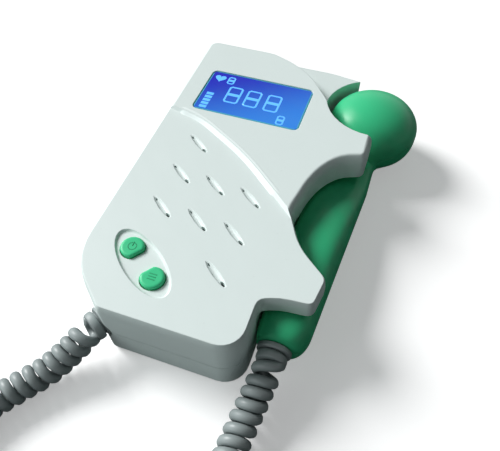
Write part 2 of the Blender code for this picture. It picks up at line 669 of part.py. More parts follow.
def window_outline(grow):
    """Returns the display window's outline, wider all round by grow."""
    half_x = WINDOW_WIDTH / 2 + grow
    half_y = WINDOW_LENGTH / 2 + grow
    radius = WINDOW_ROUND + grow
    return rounded([(-half_x, WINDOW_PLACE - half_y, radius), (half_x, WINDOW_PLACE - half_y, radius),
                    (half_x, WINDOW_PLACE + half_y, radius), (-half_x, WINDOW_PLACE + half_y, radius)])


def dish_mesh():
    """Returns the button dish's cutting mesh, an ellipse with a sloped wall."""
    ring = [Vector((p.x * DISH_LENGTH / 2, p.y * DISH_WIDTH / 2)) for p in circle(1.0, 32)]
    dish = prism("button_dish", ring, DISH_LEVEL, SPEAKER_LEVEL + DISH_DEPTH,
                 foot=(DISH_SLOPE, DISH_DEPTH), rings=2)
    return moved(dish, Matrix.Translation((*DISH_CENTRE, 0.0)) @ Matrix.Rotation(BUTTON_TILT, 4, "Z"))


def make_rear_shell():
    """The lower housing: floor with the battery bay and its door opening, cradle for the probe, screw posts."""
    outline = rounded(housing_corners(False))
    top = PARTING_HEIGHT - GAP / 2
    body = prism("rear_shell", outline, 0.0, top, foot=(FOOT_ROUND, FOOT_ROUND), rings=2)
    shell = add_part("rear_shell", body, MINT, 0.5)
    cradle_outline = rounded(shared(CRADLE_SHARES, CRADLE_REACH, across=HALF_WIDTH))
    cradle = prism("cradle_floor", cradle_outline, CRADLE_LIFT, CRADLE_FLOOR)
    head_way = rod("head_way", RECESS_RADIUS, -OVERRUN, UNIT_HEIGHT + OVERRUN, 40, HEAD_CENTRE)
    cut(shell, CHANNEL_UPPER, add_cutter("head_way", head_way))
    join(shell, add_cutter("cradle_floor", cradle))
    cut(shell, CAVITY)
    lip = add_cutter("lip", prism("lip", inner_outline(SIDE_WALL + GAP), top - SIDE_WALL, top + LIP_HEIGHT))
    lip_inside = make_cavity("lip_inside", SIDE_WALL + GAP + LIP_WALL, top - SIDE_WALL - OVERRUN,
                             top + LIP_HEIGHT + OVERRUN)
    pillar = rod("lip_pillar", RECESS_RADIUS + SIDE_WALL + GAP, top - OVERRUN, top + LIP_HEIGHT + OVERRUN, 40,
                 HEAD_CENTRE)
    rooms = [rod("boss_room", BOSS_RADIUS + GAP, top, top + LIP_HEIGHT + OVERRUN, 16, place)
             for place in BOSS_PLACES]
    cut(lip, add_cutter("lip_pillar", pillar), lip_inside, add_cutter("boss_rooms", gathered("boss_rooms", rooms)))
    seat = add_cutter("lip_seat", prism("lip_seat", inner_outline(SIDE_WALL / 2), top - SIDE_WALL, top - GAP))
    cut(seat, lip_inside)
    seat_pillar = rod("seat_pillar", RECESS_RADIUS + SIDE_WALL / 2, top - OVERRUN, top + OVERRUN, 40, HEAD_CENTRE)
    cut(seat, add_cutter("seat_pillar", seat_pillar))
    join(shell, seat, lip)
    posts = [rod("post", BOSS_RADIUS, FLOOR_WALL / 2, PARTING_HEIGHT - GAP / 2, 16, place)
             for place in BOSS_PLACES]
    join(shell, add_cutter("screw_posts", gathered("screw_posts", posts)))
    shanks = [rod("shank_way", SCREW_RADIUS + GAP, -OVERRUN, PARTING_HEIGHT + OVERRUN, 12, place)
              for place in BOSS_PLACES]
    cut(shell, add_cutter("shank_ways", gathered("shank_ways", shanks)))
    heads = [rod("screw_head_way", SCREW_HEAD_RADIUS + GAP, -OVERRUN, SCREW_RECESS + SCREW_HEAD_DEPTH + GAP, 16, place)
             for place in BOSS_PLACES]
    cut(shell, add_cutter("screw_head_ways", gathered("screw_head_ways", heads)))
    join(shell, bay_walls())
    cut(shell, door_opening(), BUSH_WAY, SOCKET_WAY, WHEEL_WAY)
    return shell


def bay_walls():
    """Makes the upright walls round the two cells, one between them and a cross wall at each end."""
    bay_top = BOARD_LEVEL - GAP
    outer = [(-BAY_HALF_WIDTH, BAY_PLACE - BAY_HALF_LENGTH, BAY_WALL),
             (BAY_HALF_WIDTH, BAY_PLACE - BAY_HALF_LENGTH, BAY_WALL),
             (BAY_HALF_WIDTH, BAY_PLACE + BAY_HALF_LENGTH, BAY_WALL),
             (-BAY_HALF_WIDTH, BAY_PLACE + BAY_HALF_LENGTH, BAY_WALL)]
    walls = add_cutter("bay_walls", prism("bay_walls", rounded(outer), FLOOR_WALL / 2, bay_top))
    half_x = BAY_HALF_WIDTH - BAY_WALL
    half_y = BAY_HALF_LENGTH - BAY_WALL
    inside = block("bay_inside", (-half_x, BAY_PLACE - half_y, -OVERRUN),
                   (half_x, BAY_PLACE + half_y, bay_top + OVERRUN))
    cut(walls, add_cutter("bay_inside", inside))
    return walls


def door_meshes(grow, name):
    """Returns the door's plate, rails and end lip as overlapping meshes, wider all round by grow."""
    half_x = BAY_HALF_WIDTH - BAY_WALL - GAP + grow
    near = BAY_PLACE - BAY_HALF_LENGTH + BAY_WALL + GAP - grow
    far = HALF_LENGTH
    reach = far + OVERRUN if grow else far
    low = -OVERRUN if grow else DOOR_RISE
    rail_low = DOOR_RISE + DOOR_DEPTH / 2 - DOOR_RAIL_DEPTH / 2 - grow
    plate = block(name + "_plate", (-half_x, near, low), (half_x, reach, DOOR_TOP + grow))
    rails = block(name + "_rails", (-half_x - DOOR_RAIL, near, rail_low),
                  (half_x + DOOR_RAIL, reach - SIDE_WALL * (0 if grow else 1), rail_low + DOOR_RAIL_DEPTH + 2 * grow))
    lip = block(name + "_lip", (-half_x, far - SIDE_WALL - (OVERRUN if grow else 0.0), low),
                (half_x, reach, DOOR_LIP_HEIGHT + grow))
    return plate, rails, lip


def door_opening():
    """Makes the helper solid of the opening that the door slides in."""
    plate, rails, lip = (add_cutter(mesh.name, mesh) for mesh in door_meshes(GAP, "opening"))
    join(plate, rails, lip)
    return plate


def make_battery_door():
    """The sliding cover of the battery bay, with side rails, an end lip and a ribbed thumb patch."""
    plate, rails, lip = door_meshes(0.0, "battery_door")
    door = add_part("battery_door", plate, MINT, 0.5)
    join(door, add_cutter("door_rails", rails), add_cutter("door_lip", lip))
    ribs = []
    for index in range(GRIP_RIB_COUNT):
        near = BAY_PLACE + BAY_HALF_LENGTH / 2 + index * GRIP_RIB_PITCH
        ribs.append(block("grip_rib", (-GRIP_RIB_LENGTH / 2, near, DOOR_RISE - OVERRUN),
                          (GRIP_RIB_LENGTH / 2, near + GRIP_RIB_WIDTH, DOOR_RISE + GRIP_RIB_DEPTH)))
    cut(door, add_cutter("grip_grooves", gathered("grip_grooves", ribs)))
    return door


def make_cells():
    """Two round cells side by side, with their tips opposite ways."""
    length = CELL_LENGTH - CELL_TIP_LENGTH
    profile = [(0.0, CELL_LENGTH / 2), (CELL_TIP_RADIUS, CELL_LENGTH / 2), (CELL_TIP_RADIUS, length / 2),
               (CELL_RADIUS, length / 2), (CELL_RADIUS, -CELL_LENGTH / 2), (0.0, -CELL_LENGTH / 2)]
    for index, side in enumerate((-1, 1)):
        mesh = turned(f"battery_cell_{index + 1}", profile, 20)
        moved(mesh, Matrix.Rotation(side * math.pi / 2, 4, "X"))
        place = (side * (CELL_RADIUS + GAP / 2), BAY_PLACE, CELL_LEVEL)
        add_part(f"battery_cell_{index + 1}", mesh, CELL_BLUE, 0.35, 0.3, place)


def make_contacts():
    """The sprung contact plates at the two ends of the battery bay."""
    half_x = BAY_HALF_WIDTH - BAY_WALL - GAP
    low = max(DOOR_TOP, FLOOR_WALL) + 2 * GAP
    high = CELL_LEVEL + CELL_RADIUS
    seat = BAY_HALF_LENGTH - BAY_WALL - GAP
    for name, side in (("battery_contact_near", -1), ("battery_contact_far", 1)):
        ends = sorted((BAY_PLACE + side * seat, BAY_PLACE + side * (seat - CONTACT_DEPTH)))
        plate = add_part(name, block(name, (-half_x, ends[0], low), (half_x, ends[1], high)), STEEL, 0.3, 1.0)
        tip = turned(name + "_cone", [(0.0, SPRING_ROOM / 2), (CELL_TIP_RADIUS, SPRING_ROOM / 2),
                                      (CELL_TIP_RADIUS * 2, 0.0), (CELL_TIP_RADIUS * 2, -CONTACT_DEPTH / 2),
                                      (0.0, -CONTACT_DEPTH / 2)], 16)
        moved(tip, Matrix.Rotation(side * math.pi / 2, 4, "X"))
        spot = Vector((-side * (CELL_RADIUS + GAP / 2), BAY_PLACE + side * (seat - CONTACT_DEPTH), CELL_LEVEL))
        join(plate, add_cutter(name + "_cone", tip, spot))


def make_display():
    """The display: window in the panel's opening, the glass below it and the frame on the board."""
    lens_top = UNIT_HEIGHT - GAP / 3
    lens_low = lens_top - WINDOW_DEPTH
    lens = prism("display_window", window_outline(0.0), lens_low, lens_top, (GAP, GAP), rings=1)
    add_part("display_window", lens, BLUE, 0.08)
    glass_top = lens_low - GAP
    glass = prism("display_glass", window_outline(-GAP), glass_top - GLASS_DEPTH, glass_top)
    add_part("display_glass", glass, BLUE, 0.15)
    frame_top = min(glass_top - GLASS_DEPTH - GAP, CEILING - GAP)
    half_x = WINDOW_WIDTH / 2 + DISPLAY_MARGIN
    half_y = WINDOW_LENGTH / 2 + DISPLAY_MARGIN
    frame = block("display_frame", (-half_x, WINDOW_PLACE - half_y, BOARD_LEVEL + BOARD_DEPTH + GAP),
                  (half_x, WINDOW_PLACE + half_y, frame_top))
    holder = add_part("display_frame", frame, CREAM, 0.6)
    cut(holder, ledge_level("frame_corner", LEDGE_WALL + GAP, BOARD_LEVEL))


def make_board():
    """The main board, cut out for the speaker, with a tact switch under each button."""
    corners = [(x * HALF_WIDTH, y * HALF_LENGTH, 0.0) for x, y in BOARD_SHARES]
    board = add_part("main_board", prism("main_board", rounded(corners), BOARD_LEVEL, BOARD_LEVEL + BOARD_DEPTH),
                     BOARD_GREEN, 0.5)
    hole = rod("speaker_room", SPEAKER_RADIUS + 2 * GAP, BOARD_LEVEL - OVERRUN,
               BOARD_LEVEL + BOARD_DEPTH + OVERRUN, 24, SPEAKER_CENTRE)
    cut(board, add_cutter("speaker_room", hole))
    low = BOARD_LEVEL + BOARD_DEPTH + GAP
    for name, place in BUTTON_PLACES.items():
        half = SWITCH_SIZE / 2
        body = block(name + "_switch", (-half, -half, low), (half, half, low + SWITCH_HEIGHT))
        add_part(name + "_switch", body, DARK, 0.5, 0.0, (*place, 0.0))


def make_buttons():
    """The two green buttons: crowned caps over a flange below the cover, each with a short stem."""
    ceiling = min(CEILING, DISH_LEVEL)
    switch_top = BOARD_LEVEL + BOARD_DEPTH + GAP + SWITCH_HEIGHT
    flange_top = ceiling - GAP
    for name, place in BUTTON_PLACES.items():
        turn = BUTTON_TILT if name == "power" else BUTTON_TILT + math.pi
        cap_mesh = prism(name + "_button", button_outline(0.0), flange_top - BUTTON_FLANGE_DEPTH / 2,
                         SPEAKER_LEVEL + BUTTON_CROWN, (BUTTON_CROWN * 2, BUTTON_CROWN), rings=3)
        cap = add_part(name + "_button", moved(cap_mesh, Matrix.Rotation(turn, 4, "Z")), GREEN, 0.3, 0.0,
                       (*place, 0.0))
        flange = prism(name + "_flange", button_outline(BUTTON_FLANGE), flange_top - BUTTON_FLANGE_DEPTH, flange_top)
        stem_low = switch_top + BUTTON_TRAVEL + GAP
        if stem_low < flange_top - BUTTON_FLANGE_DEPTH:
            stem = rod(name + "_stem", STEM_RADIUS, stem_low, flange_top, 14)
            join(cap, add_cutter(name + "_stem", stem, (*place, 0.0)))
        join(cap, add_cutter(name + "_flange", moved(flange, Matrix.Rotation(turn, 4, "Z")), (*place, 0.0)))


def make_speaker():
    """The round speaker behind the slots: basket, cone and magnet on one axis."""
    top = CEILING - GAP
    rim_low = top - SPEAKER_RIM_DEPTH
    foot = top - SPEAKER_DEPTH
    neck = MAGNET_RADIUS
    wall = SPEAKER_RIM_DEPTH
    basket = [(SPEAKER_RADIUS, top), (SPEAKER_RADIUS, rim_low), (neck, foot), (GAP, foot), (GAP, foot + wall),
              (neck - wall, foot + wall), (SPEAKER_RADIUS - SPEAKER_RIM, rim_low), (SPEAKER_RADIUS - SPEAKER_RIM, top)]
    add_part("speaker_basket", turned("speaker_basket", basket, 24), DARK, 0.5, 0.2, (*SPEAKER_CENTRE, 0.0))
    outer = SPEAKER_RADIUS - SPEAKER_RIM - GAP
    cone = [(outer, top - GAP), (outer, rim_low + GAP), (neck - wall, foot + wall + 3 * GAP),
            (0.0, foot + wall + 3 * GAP), (0.0, foot + wall * 2 + 3 * GAP), (neck - 2 * wall, foot + wall * 2 + 3 * GAP),
            (outer - wall, top - GAP)]
    add_part("speaker_cone", turned("speaker_cone", cone, 24), DARK, 0.8, 0.0, (*SPEAKER_CENTRE, 0.0))
    magnet = rod("speaker_magnet", MAGNET_RADIUS - GAP, foot - GAP - MAGNET_DEPTH, foot - GAP, 28)
    add_part("speaker_magnet", magnet, STEEL, 0.3, 1.0, (*SPEAKER_CENTRE, 0.0))


def make_screws():
    """Four screws from the back into the cover's bosses."""
    head_low = SCREW_RECESS
    shank_low = head_low + SCREW_HEAD_DEPTH
    for index, place in enumerate(BOSS_PLACES):
        profile = [(0.0, shank_low + SCREW_LENGTH), (SCREW_RADIUS / 2, shank_low + SCREW_LENGTH),
                   (SCREW_RADIUS, shank_low + SCREW_LENGTH - SCREW_RADIUS), (SCREW_RADIUS, shank_low),
                   (SCREW_HEAD_RADIUS, shank_low), (SCREW_HEAD_RADIUS, head_low), (0.0, head_low)]
        screw = add_part(f"housing_screw_{index + 1}", turned(f"housing_screw_{index + 1}", profile, 12),
                         STEEL, 0.3, 1.0, (*place, 0.0))
        half = SCREW_HEAD_RADIUS * 0.6
        bar = SCREW_HEAD_RADIUS * 0.15
        deep = head_low + SCREW_HEAD_DEPTH / 2
        slots = [block("cross_a", (-half, -bar, -OVERRUN), (half, bar, deep)),
                 block("cross_b", (-bar, -half, -OVERRUN), (bar, half, deep))]
        first = add_cutter(f"cross_{index}_a", slots[0], (*place, 0.0))
        second = add_cutter(f"cross_{index}_b", slots[1], (*place, 0.0))
        cut(screw, first, second)


def make_volume():
    """The knurled volume wheel that shows through the left wall, on the shaft of its potentiometer."""
    outline = []
    for index, spot in enumerate(circle(1.0, WHEEL_TEETH * 2)):
        outline.append(spot * (WHEEL_RADIUS - (WHEEL_TOOTH if index % 2 else 0.0)))
    wheel = add_part("volume_wheel", prism("volume_wheel", outline, WHEEL_LEVEL, WHEEL_LEVEL + WHEEL_DEPTH), GREY, 0.5,
                     0.0, (*WHEEL_CENTRE, 0.0))
    bore = rod("wheel_bore", PIVOT_RADIUS + GAP, WHEEL_LEVEL - OVERRUN, WHEEL_LEVEL + WHEEL_DEPTH + OVERRUN, 16)
    cut(wheel, add_cutter("wheel_bore", bore, (*WHEEL_CENTRE, 0.0)))
    high = BOARD_LEVEL - GAP
    low = high - POT_DEPTH
    half = POT_SIZE / 2
    body = block("volume_control", (-half, -half, low), (half, half, high))
    control = add_part("volume_control", body, DARK, 0.5, 0.0, (*WHEEL_CENTRE, 0.0))
    shaft = rod("control_shaft", PIVOT_RADIUS, WHEEL_LEVEL, low + POT_DEPTH / 2, 14)
    join(control, add_cutter("control_shaft", shaft, (*WHEEL_CENTRE, 0.0)))


def make_socket():
    """The earphone socket: a bored barrel flush with the left wall."""
    profile = [(SOCKET_RADIUS, -GAP), (SOCKET_RADIUS, -SOCKET_LENGTH), (SOCKET_BORE, -SOCKET_LENGTH),
               (SOCKET_BORE, -GAP)]
    mesh = turned("earphone_socket", profile, 20)
    add_part("earphone_socket", moved(mesh, socket_matrix()), DARK, 0.45)


def handle_section(y):
    """Returns the handle's middle and its half width and height: a tapered bar whose tail narrows to the collar."""
    along = min(max((y - TAIL_PLACE) / (NECK_PLACE - TAIL_PLACE), 0.0), 1.0)
    half_width = (TAIL_WIDTH + (NECK_WIDTH - TAIL_WIDTH) * along) / 2
    half_height = (TAIL_HEIGHT + (NECK_HEIGHT - TAIL_HEIGHT) * along ** 3) / 2
    start = max(TAIL_ROUND - (y - TAIL_PLACE), 0.0) / TAIL_ROUND
    narrow = 1 - math.sqrt(max(1 - start ** 2, 0.0))
    swell = 1 - narrow * (1 - COLLAR_RADIUS * 2 / TAIL_WIDTH)
    middle = Vector((HANDLE_LEFT + half_width + COLLAR_SHIFT * narrow, y, PROBE_FLOOR + half_height))
    return middle, half_width * swell, half_height * swell


def handle_measure(place):
    """Returns below 1 inside the probe's handle and above 1 outside."""
    middle, half_width, half_height = handle_section(place.y)
    across = abs(place.x - middle.x) / half_width
    upward = abs(place.z - middle.z) / half_height
    beyond = max(place.y - HEAD_CENTRE.y + HEAD_RADIUS, 0.0) / HEAD_RADIUS
    return (across ** HANDLE_POWER + upward ** HANDLE_POWER + beyond ** HANDLE_POWER) ** (1 / HANDLE_POWER)


def head_measure(place):
    """Returns below 1 inside the probe's head and above 1 outside: a dome over a boxier lower half."""
    out = (place - HEAD_CENTRE).xy.length / HEAD_RADIUS
    over = place.z - HEAD_LEVEL
    power = HEAD_TOP_POWER if over > 0 else HEAD_BOTTOM_POWER
    upward = abs(over) / (HEAD_TOP if over > 0 else HEAD_BOTTOM)
    return (out ** power + upward ** power) ** (1 / power)


def probe_measure(place):
    """Joins the handle and the head with a soft hollow between them."""
    handle = max(handle_measure(place), GAP)
    head = max(head_measure(place), GAP)
    return (handle ** -JOIN_POWER + head ** -JOIN_POWER) ** (-1 / JOIN_POWER)


def probe_middle(y):
    """Returns the middle line of the probe, which climbs from the handle to the head."""
    share = min(max((y - HEAD_CENTRE.y) / HEAD_RADIUS + 1.5, 0.0), 1.0)
    share = share * share * (3 - 2 * share)
    return handle_section(y)[0].lerp(Vector((HEAD_CENTRE.x, y, HEAD_LEVEL)), share)


def probe_ring(y, side, inset, steps):
    """Returns half a section of the probe, from +X round to -X, over (side 1) or under (-1) the parting."""
    middle = probe_middle(y) + Vector((0.0, 0.0, side * GAP / 2))
    points = []
    for step in range(steps + 1):
        angle = math.pi * step / steps
        ray = Vector((math.cos(angle), 0.0, side * math.sin(angle)))
        inside, outside = 0.0, HEAD_RADIUS * 2
        for _ in range(18):
            reach = (inside + outside) / 2
            if probe_measure(middle + ray * reach) < 1:
                inside = reach
            else:
                outside = reach
        points.append(middle + ray * max(inside - inset, GAP))
    return points


def probe_stations(first, last, count):
    """Returns places along the probe, closer together towards both ends."""
    places = []
    for index in range(count):
        share = index / (count - 1)
        eased = 0.5 - 0.5 * math.cos(math.pi * share)
        places.append(first + (last - first) * (0.45 * share + 0.55 * eased))
    return places


def make_probe_shell(name, side):
    """One half of the probe's housing: a lofted skin, an inner skin and the rims between them."""
    steps = 12
    tip = HEAD_CENTRE.y + HEAD_RADIUS
    outer_places = probe_stations(TAIL_PLACE, tip - GAP / 8, 26)
    inner_places = probe_stations(TAIL_PLACE, tip - PROBE_WALL, 26)
    inner_places[0] = TAIL_PLACE
    bm = bmesh.new()
    outer = [[bm.verts.new(p) for p in probe_ring(y, side, 0.0, steps)] for y in outer_places]
    inner = [[bm.verts.new(p) for p in probe_ring(y, side, PROBE_WALL, steps)] for y in inner_places]
    for skin in (outer, inner):
        for a, b in zip(skin, skin[1:]):
            for i in range(steps):
                bm.faces.new((a[i], a[i + 1], b[i + 1], b[i]))
        bm.faces.new(skin[-1])
    for i in range(steps):
        bm.faces.new((outer[0][i], outer[0][i + 1], inner[0][i + 1], inner[0][i]))
    for rim in (0, -1):
        for k in range(len(outer) - 1):
            bm.faces.new((outer[k][rim], outer[k + 1][rim], inner[k + 1][rim], inner[k][rim]))
    bm.faces.new((outer[-1][0], outer[-1][-1], inner[-1][-1], inner[-1][0]))
    shell = add_part(name, finish_mesh(bm, name), GREEN, 0.3)
    hole = rod(name + "_collar_way", COLLAR_NECK_RADIUS + GAP, -COLLAR_INSIDE - OVERRUN, OVERRUN, 20)
    cut(shell, add_cutter(name + "_collar_way", moved(hole, COLLAR_MATRIX)))
    return shell


def make_probe():
    """The probe: two shells, acoustic face, crystal, its holder and the cord collar."""
    make_probe_shell("probe_upper_shell", 1)
    lower = make_probe_shell("probe_lower_shell", -1)
    face_way = rod("face_way", FACE_RADIUS + GAP, 0.0, PROBE_FLOOR + PROBE_WALL * 2, 36, HEAD_CENTRE)
    cut(lower, add_cutter("face_way", face_way))
    low = PROBE_FLOOR
    face = rod("acoustic_face", FACE_RADIUS, low, low + FACE_DEPTH, 36, HEAD_CENTRE)
    add_part("acoustic_face", face, CREAM, 0.4)
    crystal_low = low + FACE_DEPTH + GAP
    crystal = rod("crystal_disc", CRYSTAL_RADIUS, crystal_low, crystal_low + CRYSTAL_DEPTH, 28, HEAD_CENTRE)
    add_part("crystal_disc", crystal, STEEL, 0.3, 0.8)
    inner = CRYSTAL_RADIUS + GAP
    holder = [(inner + HOLDER_WALL, crystal_low + HOLDER_HEIGHT), (inner + HOLDER_WALL, crystal_low),
              (inner, crystal_low), (inner, crystal_low + CRYSTAL_DEPTH + GAP), (0.0, crystal_low + CRYSTAL_DEPTH + GAP),
              (0.0, crystal_low + HOLDER_HEIGHT)]
    add_part("crystal_holder", turned("crystal_holder", holder, 28), DARK, 0.6, 0.0,
             (HEAD_CENTRE.x, HEAD_CENTRE.y, 0.0))
    collar = [(0.0, GAP + COLLAR_SHOW), (COLLAR_RADIUS * 0.9, GAP + COLLAR_SHOW),
              (COLLAR_RADIUS, GAP + COLLAR_SHOW * 0.7), (COLLAR_RADIUS, GAP), (COLLAR_NECK_RADIUS, GAP),
              (COLLAR_NECK_RADIUS, -COLLAR_INSIDE), (0.0, -COLLAR_INSIDE)]
    mesh = moved(turned("probe_collar", collar, 24), COLLAR_MATRIX)
    add_part("probe_collar", mesh, GREY, 0.5)


def make_bush():
    """The cord's bush, clamped between the housing halves; the cord's end meets its face."""
    face = GAP + BUSH_SHOW
    profile = [(0.0, face), (BUSH_RADIUS * 0.9, face), (BUSH_RADIUS, face - BUSH_SHOW * 0.4),
               (BUSH_RADIUS, GAP), (BUSH_NECK_RADIUS, GAP), (BUSH_NECK_RADIUS, -BUSH_INSIDE),
               (0.0, -BUSH_INSIDE)]
    add_part("cord_bush", moved(turned("cord_bush", profile, 24), BUSH_MATRIX), GREY, 0.55)


def smooth_route(points, steps):
    """Returns a smooth curve through the points of a route, with a share of each span at every step."""
    padded = [points[0] * 2 - points[1]] + points + [points[-1] * 2 - points[-2]]
    places = []
    for k in range(1, len(padded) - 2):
        a, b, c, d = padded[k - 1:k + 3]
        for step in range(steps):
            t = step / steps
            places.append(0.5 * (2 * b + (c - a) * t + (2 * a - 5 * b + 4 * c - d) * t ** 2
                                 + (3 * b - a - 3 * c + d) * t ** 3))
    places.append(points[-1])
    return places


def curl_points():
    """Returns the curly cord's middle line: a helix about the route, whose straight ends leave beside the axis."""
    out = BUSH_DIRECTION.to_3d()
    back = Vector((0.0, -1.0, 0.0))
    start = Vector((*BUSH_CENTRE, PARTING_HEIGHT)) + out * (2 * GAP + BUSH_SHOW)
    end = COLLAR_CENTRE + back * (2 * GAP + COLLAR_SHOW)
    first = start + out * WIRE
    last = end + back * WIRE
    flat = Vector((0.0, 0.0, CORD_LEVEL))
    route = [first - out * WIRE / 4, first] + [Vector(point) * MM + flat for point in CORD_ROUTE]
    route += [last, last - back * WIRE / 4]
    places = smooth_route(route, 24)
    tangents = [(places[min(i + 1, len(places) - 1)] - places[max(i - 1, 0)]).normalized()
                for i in range(len(places))]
    side = tangents[0].cross(Vector((0.0, 0.0, 1.0))).normalized()
    sides = []
    for tangent in tangents:
        side = (side - tangent * side.dot(tangent)).normalized()
        sides.append(side)
    turns = [0.0]
    for i in range(1, len(places)):
        step = (places[i] - places[i - 1]).length
        bend = tangents[i].angle(tangents[i - 1]) / step if step else 0.0
        pitch = (WIRE + TURN_GAP) / (1 - min(COIL_RADIUS * bend, 0.5))
        from_end = min((places[i] - first).length, (places[i] - last).length)
        pitch *= 1 + END_STRETCH * max(1 - from_end / (2 * WIRE), 0.0) ** 2
        turns.append(turns[-1] + step / pitch)
    curls = math.floor(turns[-1])
    scale = curls / turns[-1]
    points = [start + sides[0] * COIL_RADIUS]
    index = 1
    total = curls * POINTS_PER_CURL
    for k in range(total + 1):
        turn = k / POINTS_PER_CURL
        while index < len(turns) - 1 and turns[index] * scale < turn:
            index += 1
        low, high = turns[index - 1] * scale, turns[index] * scale
        share = min(max((turn - low) / (high - low), 0.0), 1.0)
        middle = places[index - 1].lerp(places[index], share)
        tangent = tangents[index - 1].lerp(tangents[index], share).normalized()
        across = sides[index - 1].lerp(sides[index], share).normalized()
        angle = math.tau * turn
        points.append(middle + (across * math.cos(angle) + tangent.cross(across) * math.sin(angle)) * COIL_RADIUS)
    points.append(end + sides[-1] * COIL_RADIUS)
    return points, curls


def least_self_gap(points):
    """Returns the smallest clear distance between neighbouring turns of the wire, measured on its points."""
    apart = POINTS_PER_CURL // 2 + 1
    least = min((points[i] - points[j]).length for i in range(len(points))
                for j in range(i + apart, min(i + 3 * POINTS_PER_CURL, len(points))))
    return least - WIRE


def make_cord():
    """The curly cord from the unit's left corner to the probe, one unbroken tube."""
    points, curls = curl_points()
    line = bpy.data.curves.new("curly_cord", "CURVE")
    line.dimensions = "3D"
    line.bevel_depth = WIRE / 2
    line.bevel_resolution = 1
    line.use_fill_caps = True
    spline = line.splines.new("POLY")
    spline.points.add(len(points) - 1)
    for point, place in zip(spline.points, points):
        point.co = (*place, 1.0)
    guide = bpy.data.objects.new("cord_line", line)
    bpy.context.scene.collection.objects.link(guide)
    bpy.context.view_layer.update()
    solid = bpy.data.meshes.new_from_object(guide.evaluated_get(bpy.context.evaluated_depsgraph_get()))
    bpy.data.objects.remove(guide, do_unlink=True)
    bm = bmesh.new()
    bm.from_mesh(solid)
    bmesh.ops.remove_doubles(bm, verts=bm.verts, dist=GAP / 100)
    bpy.data.meshes.remove(solid)
    add_part("curly_cord", finish_mesh(bm, "curly_cord"), GREY, 0.6)
    length = sum((b - a).length for a, b in zip(points, points[1:]))
    print(f"curly cord: {curls} curls, {length:.3f} m of wire, least gap {least_self_gap(points) / MM:.2f} mm,"
          f" lowest middle {min(p.z for p in points) / MM:.2f} mm")


def main():
    """Builds every sub-part."""
    make_rear_shell()
    make_front_cover()
    make_battery_door()
    make_cells()
    make_contacts()
    make_display()
    make_board()
    make_buttons()
    make_speaker()
    make_screws()
    make_volume()
    make_socket()
    make_probe()
    make_bush()
    make_cord()
    bpy.context.view_layer.update()


main()
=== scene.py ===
"""Fetal doppler monitor: surfaces, finishes, display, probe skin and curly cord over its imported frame.

Lengths are metres, in the same frame as the solids. It runs as a script, and every step is an operator of the
sidebar panel.
"""

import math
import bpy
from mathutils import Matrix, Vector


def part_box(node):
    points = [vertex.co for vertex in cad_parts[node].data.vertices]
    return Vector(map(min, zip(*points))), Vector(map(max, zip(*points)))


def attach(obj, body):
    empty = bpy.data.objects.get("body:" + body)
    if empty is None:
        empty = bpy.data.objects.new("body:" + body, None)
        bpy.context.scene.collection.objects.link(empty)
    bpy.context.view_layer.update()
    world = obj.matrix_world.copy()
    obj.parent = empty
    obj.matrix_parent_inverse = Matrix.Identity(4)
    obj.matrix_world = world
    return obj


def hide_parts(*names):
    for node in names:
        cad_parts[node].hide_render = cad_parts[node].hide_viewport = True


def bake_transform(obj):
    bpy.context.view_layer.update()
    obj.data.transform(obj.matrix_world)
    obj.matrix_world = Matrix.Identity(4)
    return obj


bl_info = {
    "name": "Fetal Doppler Monitor",
    "version": (1, 0, 0),
    "blender": (4, 5, 0),
    "location": "3D View > Sidebar > Doppler",
    "description": "Dresses the monitor, its probe and its curly cord",
    "category": "Object",
}

import bmesh
import bpy
from bpy.props import FloatProperty, FloatVectorProperty, IntProperty, PointerProperty
from mathutils import Matrix, Vector

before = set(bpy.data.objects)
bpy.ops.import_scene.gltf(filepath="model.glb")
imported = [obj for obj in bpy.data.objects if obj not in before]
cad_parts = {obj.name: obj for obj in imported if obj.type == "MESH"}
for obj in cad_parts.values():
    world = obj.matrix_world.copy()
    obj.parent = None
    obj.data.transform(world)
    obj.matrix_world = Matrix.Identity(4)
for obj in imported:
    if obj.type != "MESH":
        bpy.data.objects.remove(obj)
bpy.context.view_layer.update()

MM = 0.001
UNIT_SHIFT = Vector((-16.697, 0.0, 0.0)) * MM
GAP = 0.3 * MM
PARTING_HEIGHT = 12.0 * MM
UNIT_HEIGHT = 28.0 * MM

# Probe form, as in the solids
HEAD_CENTRE = Vector((47.0, 48.297, 0.0)) * MM
HEAD_RADIUS = 17.8 * MM
HEAD_LEVEL = 15.3 * MM
HEAD_TOP = 12.3 * MM
HEAD_BOTTOM = 12.4 * MM
TAIL_PLACE = -56.001 * MM
NECK_PLACE = 15.998 * MM
HANDLE_LEFT = 30.7 * MM
PROBE_FLOOR = 2.9 * MM
NECK_WIDTH = 21.4 * MM
NECK_HEIGHT = 11.7 * MM
TAIL_WIDTH = 16.4 * MM
TAIL_HEIGHT = 17.2 * MM
TAIL_ROUND = 7.0 * MM
HANDLE_POWER = 2.5
HEAD_TOP_POWER = 2.0
HEAD_BOTTOM_POWER = 3.0
JOIN_POWER = 16.0
PROBE_WALL = 1.8 * MM
FACE_RADIUS = 12.5 * MM
COLLAR_RADIUS = 5.5 * MM
COLLAR_SHIFT = -1.1 * MM
COLLAR_SHOW = 1.6 * MM
COLLAR_NECK_RADIUS = 3.3 * MM
COLLAR_INSIDE = 3.6 * MM
COLLAR_CENTRE = Vector((37.8, -56.001, 11.5)) * MM

